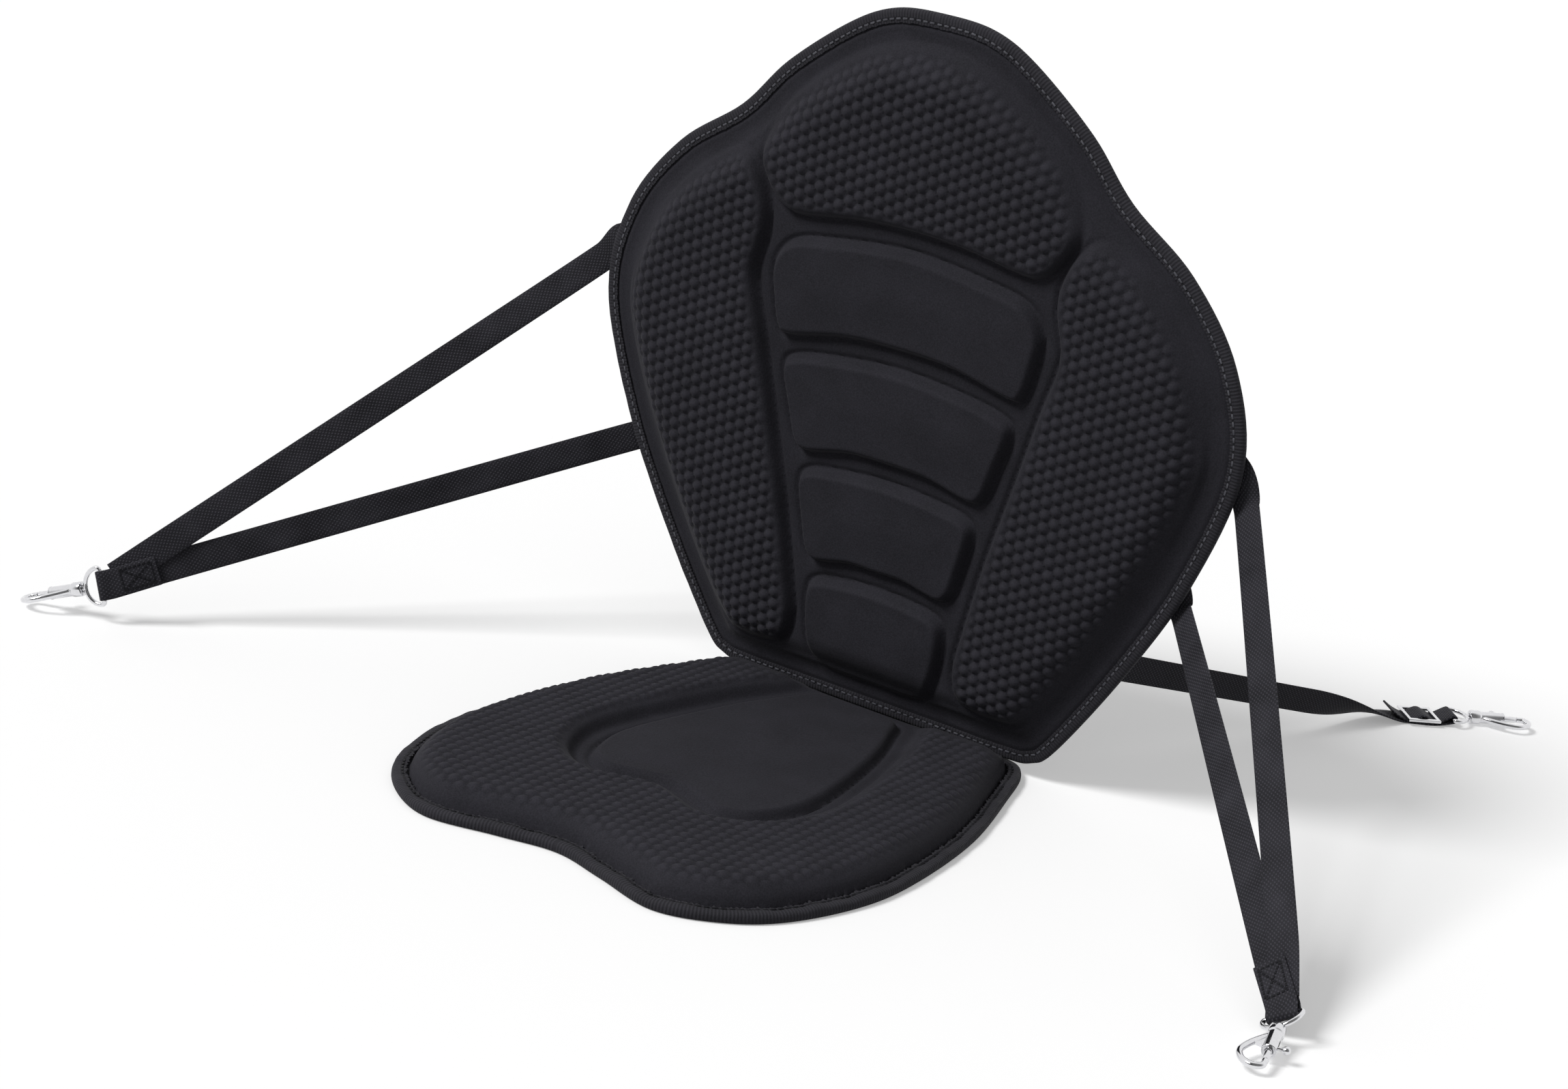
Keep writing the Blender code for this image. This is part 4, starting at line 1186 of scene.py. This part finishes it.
    def fit(self, shop: Workshop, prefix: str, origin: Vector, axis: Vector, across: Vector,
            swivel: float) -> None:
        """Put one snap in place.

        Args:
            shop: Where the pieces are kept.
            prefix: The snap's name before _snap.
            origin: The middle of the strap bar.
            axis: The direction that the hook points in.
            across: The direction of the strap bar.
            swivel: The hook's turn about its axis.
        """
        axis = axis.normalized()
        across = (across - axis * across.dot(axis)).normalized()
        rotation = Matrix((across, axis.cross(across), axis)).transposed()
        place = Matrix.Translation(origin) @ rotation.to_4x4()
        swung = place @ Matrix.Rotation(swivel, 4, "Z")
        for part, make, matrix, body in (("eye", self.eye, place, "seat"),
                                         ("body", self.casting, swung, f"{prefix}_snap"),
                                         ("bolt", self.bolt, swung, f"{prefix}_bolt")):
            work = make()
            bmesh.ops.transform(work, matrix=matrix, verts=work.verts)
            name = f"{prefix}_snap_{part}"
            shop.keep(work, name, PLATING, body, [name], sharp=38)
        self.spring(shop, prefix)

    def spring(self, shop: Workshop, prefix: str) -> None:
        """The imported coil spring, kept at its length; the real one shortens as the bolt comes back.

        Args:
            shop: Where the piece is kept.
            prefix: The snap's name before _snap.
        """
        name = f"{prefix}_snap_spring"
        work = bmesh.new()
        work.from_mesh(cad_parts[name].data)
        bmesh.ops.remove_doubles(work, verts=work.verts, dist=WELD)
        piece = shop.keep(work, name, PLATING, f"{prefix}_snap", [name])
        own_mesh(piece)


@dataclass
class Harness:
    """Six webbing straps, their sewn ends on the back, two slides and four snaps.

    Attributes:
        rear: The frame of the back's rear face.
        outline: The back's outline in millimetres.
        shop: Where the pieces are kept.
        width: The webbing's width.
        thickness: The webbing's thickness.
        clearance: The gap left between pieces that touch.
        patch_length: The length of a patch, along its strap.
        patch_width: The width of a patch.
        folded_end: How far a lower strap's end is folded back from the bar.
        upper_seam_end: Where the seam of an upper strap ends, from the bar.
        eye_wire: The diameter of the D's wire.
        slide_bar: The width of a slide's bar.
        slide_slot: The width of a slide's slot.
        slide_thickness: The thickness of a slide.
        slide_to_eye: How far a slide's middle bar is from the eye's bar.
        selvedge_gap: How far a side strap's inner selvedge is from the tape.
        approach: How far behind the back's edge a side strap starts to turn.
        edge_depth: How far in front of the rear face a side strap passes the edge.
        stitch_lift: How far the middle of a stitch is over a strap's face.
        step: The distance between a strap's cross sections.
        patch_step: The same for a patch, which is flat.
    """

    rear: Matrix
    outline: np.ndarray
    shop: Workshop
    width: float = 20 * MM
    thickness: float = 1.4 * MM
    clearance: float = 0.3 * MM
    patch_length: float = 34 * MM
    patch_width: float = 26 * MM
    folded_end: float = 38 * MM
    upper_seam_end: float = 47.5 * MM
    eye_wire: float = 3.2 * MM
    slide_bar: float = 2.4 * MM
    slide_slot: float = 8.6 * MM
    slide_thickness: float = 2 * MM
    slide_to_eye: float = 23 * MM
    selvedge_gap: float = 1.0 * MM
    approach: float = 22 * MM
    edge_depth: float = -1.4 * MM
    stitch_lift: float = 0.05 * MM
    step: float = 2.5 * MM
    patch_step: float = 3 * MM

    # Spots on the rear face where straps are sewn, as half width and height in millimetres
    UPPER = (196, 266)
    LOWER = (172, 138)
    REAR = (88, 76)
    # Spots where the upper and the lower strap leave the edge
    LEAVES = {Side.LEFT: ((246, 258), (211, 137)), Side.RIGHT: ((243, 222), (214, 144))}
    # How much steeper than its outer run a strap climbs to the edge, behind it
    STEEPNESS = {Side.LEFT: 0.0, Side.RIGHT: 0.7}
    # The middle of each snap's strap bar, where its hook points, and the bar's roll
    SNAPS = {
        Side.LEFT: (Vector((-0.434, -0.113, 0.026)), Vector((-0.053, -0.013, -0.021)),
                    math.radians(96)),
        Side.RIGHT: (Vector((0.4185, -0.046, 0.014)), Vector((0.0165, -0.058, -0.0075)),
                     math.radians(33)),
    }
    REAR_EYE = Vector((0.268, 0.541, 0.0058))
    REAR_AXIS = Vector((0.046, 0.043, 0.0))
    # The turns round a wire at which a strap has a station
    WRAP = tuple(math.radians(angle) for angle in (-90, -45, 0, 45, 90))
    # The free end past the slide, as run and rise in millimetres
    TAIL = ((8, 3), (14, 7))
    # A patch's seam, as shares of its half length and half width
    PATCH_SEAM = (0.8, 0.78)
    # The folded end's seam: its middle and half length as shares of the fold, and its half width
    FOLD_SEAM = (0.63, 0.28, 0.7)
    # Where a rear strap lands, past the slide and over its lying height
    LANDING = (3 * MM, 0.6 * MM)
    # How far past the middle of its patch a rear strap is still flat, as a share of the patch
    PATCH_EXIT = 0.65
    # Where a rear strap bends down: off the rear face and towards the landing
    BEND = (6 * MM, 12 * MM)
    # Where it turns flat: a share of the way to the bend, and the share of the turn made there
    TURNING = (0.28, 0.8)

    @property
    def behind(self) -> Vector:
        """The direction that the back's rear face looks in."""
        return (self.rear.to_3x3() @ Vector((0, 0, -1))).normalized()

    @property
    def ring(self) -> float:
        """How far a strap's middle is from the middle of the wire that it goes round."""
        return self.eye_wire / 2 + self.clearance + self.thickness / 2

    @property
    def thread(self) -> float:
        """How far the middle of a stitch is from the strap's middle."""
        return self.thickness / 2 + self.stitch_lift

    def section(self, width: float, thickness: float) -> list[Pair]:
        """A flat section with rolled edges."""
        a, b = width / 2, thickness / 2
        top = [(-a, 0.0), (-a + 0.3 * b, 0.7 * b), (-a + b, b), (-a / 2, b), (0.0, b), (a / 2, b),
               (a - b, b), (a - 0.3 * b, 0.7 * b)]
        return top + [(-x, -z) for x, z in top]

    def on_back(self, side: Side, spot: Pair, layers: int) -> Vector:
        """A world position on the rear face, with so many webbing layers before it."""
        depth = self.clearance + (self.clearance + self.thickness) * layers + self.thickness / 2
        return self.rear @ Vector((side.value * spot[0] * MM, spot[1] * MM, -depth))

    def strap(self, name: str, stations: Sequence[Station], start: Vector, end: Vector) -> None:
        """A strap that bends from the seat's side of the fold to the back's.

        Args:
            name: The strap's name, which is also its node's.
            stations: Each a centre and a vector across half the width.
            start: The last point that stays with the seat.
            end: The first point that moves with the back.
        """
        frames = strap_frames(stations, self.step)
        work = sweep(self.section(self.width, self.thickness), frames, False)
        piece = self.shop.keep(work, name, WEBBING, None, [name])
        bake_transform(piece, "seat", "backrest", start=start, end=end)

    def patch(self, name: str, side: Side, anchor: Pair, direction: Vector) -> None:
        """A stitched rectangle of webbing over a strap's sewn end.

        Args:
            name: The patch's name, which is also its node's.
            side: The side of the back.
            anchor: Its middle, as half width and height in millimetres.
            direction: The strap's direction there.
        """
        centre = self.on_back(side, anchor, 1)
        along = direction.normalized() * self.patch_length / 2
        across = self.behind.cross(along).normalized() * self.patch_width / 2
        ends = [(centre - along, across), (centre + along, across)]
        frames = strap_frames(ends, self.patch_step)
        work = sweep(self.section(self.patch_width, self.thickness), frames, False)
        self.shop.keep(work, name, WEBBING, "backrest", [name])
        seam = self.box_stitching()
        lengthwise, crosswise = self.PATCH_SEAM
        seam.box(centre + self.behind * self.thread, lengthwise * along, crosswise * across,
                 self.behind)
        self.shop.keep(seam.mesh(), name + "_seam", THREAD, "backrest")

    @staticmethod
    def box_stitching() -> Stitching:
        """The finer stitches that hold a strap's end."""
        return Stitching(pitch=3.2, length=2.3)

    def leave_edge(self, side: Side, place: Pair, origin: Vector, like: Vector) -> list[Station]:
        """Stations where a strap slips off the back's edge, without a twist, towards its snap.

        Args:
            side: The side of the back.
            place: Where the strap comes to the edge, as half width and height.
            origin: The middle of the snap's strap bar.
            like: The half width that the strap's should agree with.

        Returns:
            One station beside the edge and one behind it.
        """
        spot = np.array((side.value * place[0], place[1]))
        near = int(np.argmin(((self.outline - spot) ** 2).sum(1)))
        past = self.outline[(near + 2) % len(self.outline)]
        tangent = Vector(past - self.outline[near - 2]).normalized()
        outward = self.rear.to_3x3() @ Vector((tangent.y, -tangent.x, 0))
        edge = self.rear @ Vector((*(self.outline[near] * MM), self.edge_depth))
        fold = self.behind.cross(origin - edge).normalized() * self.width / 2
        fold = fold if fold.dot(like) > 0 else -fold
        run = fold.cross(self.behind).normalized()
        run = run if run.dot(origin - edge) > 0 else -run
        # The inner selvedge just clears the tape, and behind it the strap runs up close to the edge
        beside = edge + outward * (abs(fold.dot(outward)) + self.selvedge_gap)
        downwards = self.behind.cross(outward).normalized()
        downwards = downwards if downwards.z < 0 else -downwards
        rising = (run + self.STEEPNESS[side] * downwards).normalized()
        turned_half = self.like(self.behind.cross(rising), like)
        return [(beside, fold), (beside - rising * self.approach, turned_half)]

    def sides(self, side: Side) -> None:
        """The upper and lower strap of one side, which share one snap."""
        sign, word = side.value, side.word
        origin, axis, roll = self.SNAPS[side]
        axis = axis.normalized()
        level = Vector((axis.y, -axis.x, 0)).normalized() * -sign
        bar = (level * math.cos(roll) * sign + Vector((0, 0, 1)) * math.sin(roll)).normalized()
        bar = (bar - axis * bar.dot(axis)).normalized()
        BoltSnap().fit(self.shop, word, origin, axis, bar, self.swivel_for(axis, bar, sign))
        half = bar * self.width / 2
        upper, lower = (self.leave_edge(side, place, origin, half) for place in self.LEAVES[side])
        to_lower = (lower[0][0] - origin).normalized()
        flat = bar.cross(to_lower).normalized()
        flat = flat if flat.dot(upper[0][0] - origin) < 0 else -flat
        pull = flat.cross(bar).normalized()
        pull = pull if pull.dot(to_lower) > 0 else -pull
        lean = (to_lower - flat * to_lower.dot(flat)).normalized()
        lean_half = self.like(flat.cross(lean), half)
        ring = self.ring
        close = self.thickness + 2 * self.clearance
        wrap = [(origin - pull * ring * math.cos(a) + flat * ring * math.sin(a), half)
                for a in self.WRAP]
        back_leg = [(origin + lean * self.folded_end - flat * close, lean_half),
                    (origin + pull * 2 * ring - flat * close, half)]
        front_leg = [(origin + pull * 2 * ring + flat * close, half),
                     (origin + lean * self.folded_end + flat * close, lean_half)]
        held = origin + pull * self.upper_seam_end
        anchor = self.on_back(side, self.LOWER, 0)
        run = lower[1][0] - anchor
        sewn = (anchor, self.like(self.behind.cross(run), half))
        self.strap(f"{word}_lower_strap", [*back_leg, *wrap, *front_leg, *lower, sewn],
                   held, lower[1][0])
        self.patch(f"{word}_lower_patch", side, self.LOWER, run)
        to_upper = (upper[0][0] - origin).normalized()
        fan = (to_upper - flat * to_upper.dot(flat)).normalized()
        fan_half = self.like(flat.cross(fan), half)
        anchor = self.on_back(side, self.UPPER, 0)
        run = upper[1][0] - anchor
        sewn = (anchor, self.like(self.behind.cross(run), half))
        inside = [(origin + fan * 4 * ring, fan_half),
                  (origin + fan * self.upper_seam_end, fan_half)]
        self.strap(f"{word}_upper_strap", [*inside, *upper, sewn], held, upper[1][0])
        self.patch(f"{word}_upper_patch", side, self.UPPER, run)
        seam = self.box_stitching()
        middle, reach, breadth = self.FOLD_SEAM
        for face in (1, -1):
            lift = flat * face * (close + self.thread)
            seam.box(origin + lean * middle * self.folded_end + lift,
                     lean * reach * self.folded_end, lean_half * breadth, flat * face)
        self.shop.keep(seam.mesh(), f"{word}_strap_seam", DARK_THREAD, "seat")

    def like(self, across: Vector, other: Vector) -> Vector:
        """Half the strap's width across, on the same side as another."""
        half = across.normalized() * self.width / 2
        return half if half.dot(other) > 0 else -half

    @staticmethod
    def swivel_for(axis: Vector, bar: Vector, sign: float) -> float:
        """The turn that lays the hook flat, with its knob on the outer side."""
        level = Vector((-axis.y, axis.x, 0)).normalized() * sign
        return math.atan2(level.dot(axis.cross(bar)), level.dot(bar))

    def rear_strap(self, side: Side) -> None:
        """A rear strap: down to the floor, round the eye's bar and back through the slide."""
        sign, word = side.value, side.word
        flip = Matrix.Diagonal((sign, 1, 1))
        origin, axis = flip @ self.REAR_EYE, (flip @ self.REAR_AXIS).normalized()
        away = -axis
        sideways = Vector((-away.y, away.x, 0))
        half = sideways * self.width / 2
        BoltSnap().fit(self.shop, f"rear_{word}", origin, axis, sideways,
                       self.swivel_for(axis, sideways, sign))
        floor = self.thickness / 2 + self.clearance
        ring = self.ring
        pitch = self.slide_bar + self.slide_slot
        under = floor + self.thickness + self.clearance
        bar_low = under + self.thickness / 2 + self.clearance
        over = bar_low + self.slide_thickness + self.clearance + self.thickness / 2
        centre, reach = self.slide_to_eye, self.slide_bar / 2

        def at(distance: float, height: float) -> Vector:
            """A point over the strap's line, so far from the eye."""
            return origin.xy.to_3d() + away * distance + Vector((0, 0, height))

        wrap = [at(-ring * math.cos(a), origin.z + ring * math.sin(a))
                for a in self.WRAP]
        free = [at(centre - pitch - reach, under), at(centre - pitch + reach, under),
                at(centre - reach, over), at(centre + reach, over),
                at(centre + pitch - reach, under), at(centre + pitch + reach, under)]
        free += [at(centre + pitch + run * MM, under + rise * MM) for run, rise in self.TAIL]
        touch = at(centre + pitch + self.LANDING[0], floor + self.LANDING[1])
        sewn = self.on_back(side, (self.REAR[0] - self.patch_length / 2 / MM, self.REAR[1]), 0)
        exit_width = self.REAR[0] + self.PATCH_EXIT * self.patch_length / MM
        out = self.on_back(side, (exit_width, self.REAR[1]), 0)
        upright = (self.rear.to_3x3() @ Vector((0, 1, 0))).normalized() * self.width / 2
        upright = upright if upright.dot(half) >= 0 else -upright
        bend = out + self.behind * self.BEND[0] + (touch - out).normalized() * self.BEND[1]
        stations = [(point, half) for point in [*reversed(free), *reversed(wrap)]]
        # The strap stays upright, as it is sewn, and turns flat just before it lands
        way, turn = self.TURNING
        stations += [(at(centre - pitch, floor), half), (touch, half),
                     (touch.lerp(bend, way), half.lerp(upright, turn)),
                     (bend, upright), (out, upright), (sewn, upright)]
        self.strap(f"rear_{word}_strap", stations, touch, out)
        self.patch(f"rear_{word}_patch", side, self.REAR, self.rear.to_3x3() @ Vector((sign, 0, 0)))
        self.slide(f"rear_{word}_slide")

    def slide(self, name: str) -> None:
        """The flat three-bar slide, with its edges eased."""
        work = bmesh.new()
        work.from_mesh(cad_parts[name].data)
        bmesh.ops.remove_doubles(work, verts=work.verts, dist=WELD)
        bmesh.ops.dissolve_limit(work, angle_limit=math.radians(2), verts=work.verts,
                                 edges=work.edges)
        corners = [edge for edge in work.edges if edge.calc_face_angle(0) > 1]
        bmesh.ops.bevel(work, geom=corners, offset=0.5 * MM, affect="EDGES", segments=3,
                        profile=0.5, material=-1)
        self.shop.keep(work, name, PLATING, "seat", [name], sharp=50)


@dataclass
class HingeStrip:
    """A strip of tape over both bound edges at the fold.

    Attributes:
        width: The strip's width along the fold.
        thickness: The strip's thickness.
        clearance: The gap between the strip and the edges.
    """

    width: float = 160 * MM
    thickness: float = 1.4 * MM
    clearance: float = 0.3 * MM

    # Heights in millimetres between which the strip is sewn to the seat's edge and to the back
    ON_SEAT = (1.2, 5.2)
    ON_BACK = (1.8, 22.5)

    def build(self, shop: Workshop, rear: Matrix, seat_edge: float, harness: Harness) -> None:
        """Build the strip, which bends as the back folds.

        Args:
            shop: Where the piece is kept.
            rear: The frame of the back's rear face.
            seat_edge: The seat outline's rearmost Y.
            harness: Gives the flat section.
        """
        across = Vector((self.width / 2, 0, 0))
        off = self.clearance + self.thickness / 2
        upper = [rear @ Vector((0, height * MM, -off)) for height in self.ON_BACK]
        stations = [(Vector((0, seat_edge + off, height * MM)), across) for height in self.ON_SEAT]
        stations += [(point, across) for point in upper]
        frames = strap_frames(stations, 1.5 * MM)
        work = sweep(harness.section(self.width, self.thickness), frames, False)
        piece = shop.keep(work, "hinge_strip", EDGE_TAPE, None, ["hinge_strip"])
        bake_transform(piece, "seat", "backrest", start=stations[1][0], end=upper[0])


@dataclass
class Studio:
    """A white sweep of floor, soft light from the upper left and the photograph's camera.

    Attributes:
        location: Where the camera is.
        right: The direction of the picture's right side.
        up: The direction of the picture's top.
        lens: The focal length in millimetres.
        floor_size: The floor's width.
        floor_glow: How much light the floor gives off where it is seen.
        ambient: The strength of the light from all round.
    """

    location: tuple[float, float, float] = (1.0693, -1.7046, 0.8037)
    right: tuple[float, float, float] = (0.8207, 0.5551, 0.1353)
    up: tuple[float, float, float] = (-0.278, 0.1811, 0.9434)
    lens: float = 78.29
    floor_size: float = 24.0
    floor_glow: float = 0.272
    ambient: float = 0.29

    # The plating mirrors a dark room that lies this way, and white paper all round it
    DARK_ROOM = Vector((0.45, -0.78, 0.43))
    DARK_SPAN = (0.35, 0.8)
    DARK_LEVEL = 0.06
    # Each lamp's name, the way to it, its strength and its width in degrees
    LAMPS = (("key", Vector((-0.45, -0.72, 0.88)), 1.9, 20),
             ("fill", Vector((0.9, -0.9, 0.7)), 0.1, 60))

    def camera(self) -> None:
        """The camera, placed by the outlines of both pads."""
        data = bpy.data.cameras.new("camera")
        data.lens = self.lens
        data.clip_end = 60
        camera = bpy.data.objects.new("camera", data)
        bpy.context.scene.collection.objects.link(camera)
        right, up = Vector(self.right).normalized(), Vector(self.up)
        up = (up - right * up.dot(right)).normalized()
        turn = Matrix((right, up, right.cross(up))).transposed()
        camera.matrix_world = Matrix.Translation(self.location) @ turn.to_4x4()
        bpy.context.scene.camera = camera

    def lamp(self, name: str, direction: Vector, strength: float, angle: float) -> None:
        """A soft distant light.

        Args:
            name: The lamp's name.
            direction: From the seat towards the lamp.
            strength: Its strength.
            angle: How wide it is, in degrees.
        """
        data = bpy.data.lights.new(name, "SUN")
        data.energy = strength
        data.angle = math.radians(angle)
        lamp = bpy.data.objects.new(name, data)
        lamp.rotation_euler = direction.to_track_quat("Z", "Y").to_euler()
        bpy.context.scene.collection.objects.link(lamp)

    def floor(self) -> None:
        """A pale floor that renders white and keeps the seat's shadow."""
        work = bmesh.new()
        bmesh.ops.create_grid(work, x_segments=1, y_segments=1, size=self.floor_size / 2)
        mesh = bpy.data.meshes.new("floor")
        work.to_mesh(mesh)
        work.free()
        floor = bpy.data.objects.new("floor", mesh)
        bpy.context.scene.collection.objects.link(floor)
        material = bpy.data.materials.new("white_paper_sweep")
        material.use_nodes = True
        tree = material.node_tree
        shader = tree.nodes["Principled BSDF"]
        shader.inputs["Roughness"].default_value = 0.9
        shader.inputs["Specular IOR Level"].default_value = 0.0
        seen = add_node(tree, "ShaderNodeLightPath").outputs
        direct = maths(tree, "MAXIMUM", seen["Is Camera Ray"], seen["Is Glossy Ray"])
        # Paper as the eye sees it, and a grey that throws little light back up at the seat
        tone = mixed_tone(tree, direct, "#8C8C8C", "#FFFFFF")
        tree.links.new(tone, shader.inputs["Base Color"])
        lift = maths(tree, "MULTIPLY", direct, self.floor_glow)
        glow = add_node(tree, "ShaderNodeEmission", {"Strength": lift})
        both = add_node(tree, "ShaderNodeAddShader", {0: shader.outputs[0], 1: glow.outputs[0]})
        tree.links.new(both.outputs[0], tree.nodes["Material Output"].inputs["Surface"])
        mesh.materials.append(material)

    def sky(self) -> None:
        """Even light from all round, which the camera and the plating see as white."""
        world = bpy.data.worlds.new("studio")
        world.use_nodes = True
        tree = world.node_tree
        tree.nodes.clear()
        seen = add_node(tree, "ShaderNodeLightPath").outputs
        camera, glossy = seen["Is Camera Ray"], seen["Is Glossy Ray"]
        way = add_node(tree, "ShaderNodeVectorMath",
                       {0: coordinate(tree, "Generated"), 1: self.DARK_ROOM},
                       operation="DOT_PRODUCT").outputs["Value"]
        room = ramp(tree, way, self.DARK_SPAN, 1.0, self.DARK_LEVEL)
        bright = maths(tree, "MULTIPLY_ADD", glossy, room, camera)
        direct = maths(tree, "MAXIMUM", camera, glossy)
        strength = ramp(tree, direct, (0.0, 1.0), self.ambient, bright)
        back = add_node(tree, "ShaderNodeBackground", {"Color": linear("#FFFFFF"),
                                                       "Strength": strength})
        add_node(tree, "ShaderNodeOutputWorld", {"Surface": back.outputs[0]})
        bpy.context.scene.world = world

    def build(self) -> None:
        """Set up the camera, the floor and the light."""
        self.camera()
        self.floor()
        self.sky()
        for lamp in self.LAMPS:
            self.lamp(*lamp)
        bpy.context.scene.view_settings.view_transform = "Standard"


@dataclass
class KayakSeat:
    """The whole seat, and where its two panels lie.

    Attributes:
        setback: How far the fold is behind the middle of the row frame.
        lean: How far the back leans from upright, in radians.
        clearance: The gap between the two tapes at the fold.
        tape: The folded tapes' thickness.
    """

    setback: float = 180 * MM
    lean: float = math.radians(5.3)
    clearance: float = 0.3 * MM
    tape: float = 7 * MM

    BACK = ((0, 480), (36, 477), (68, 462), (113, 427), (146, 391), (193, 356), (230, 306),
            (244, 241), (220, 159), (183, 86), (141, 19), (124, 4), (101, 1), (50, 1), (0, 1))
    SEAT = ((0, 352), (38, 361), (85, 373), (123, 355), (149, 322), (166, 266), (168, 209),
            (158, 128), (136, 49), (121, 7), (101, -4), (50, -4), (0, -4))

    def build(self) -> None:
        """Build every piece of the seat."""
        shop = Workshop()
        seat_place = Matrix.Translation((0, self.setback, 0))
        axis = Matrix.Translation((0, self.setback, self.tape + self.clearance))
        rear = (axis @ Matrix.Rotation(math.pi / 2 + self.lean, 4, "X")
                @ Matrix.Translation((0, 0, -self.tape / 2)))
        seat_outline, back_outline = whole_outline(self.SEAT, -1.0), whole_outline(self.BACK)
        SeatPad("seat", "seat", seat_outline, seat_place).build(shop)
        BackPad("back", "backrest", back_outline, rear).build(shop)
        EdgeBinding("seat_edge_binding", "seat", seat_outline, seat_place, False, 0.3, 0.8,
                    DARK_THREAD).build(shop)
        EdgeBinding("back_edge_binding", "backrest", back_outline, rear, True, 0.12, 0.25,
                    THREAD).build(shop)
        harness = Harness(rear, back_outline, shop)
        seat_edge = self.setback + seat_outline[:, 1].max() * MM
        HingeStrip().build(shop, rear, seat_edge, harness)
        for side in Side:
            harness.sides(side)
            harness.rear_strap(side)
        for node in ("seat_underside_lining", "back_rear_lining"):
            shop.redress(node, LINING)
        for node in ("seat_base_board", "back_stiffener_board"):
            shop.redress(node, BOARD)


def main() -> None:
    """Build the seat and its studio."""
    logging.basicConfig(level=logging.INFO, format="%(message)s")
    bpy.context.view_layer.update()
    Studio().build()
    KayakSeat().build()


if __name__ == "__main__":
    main()
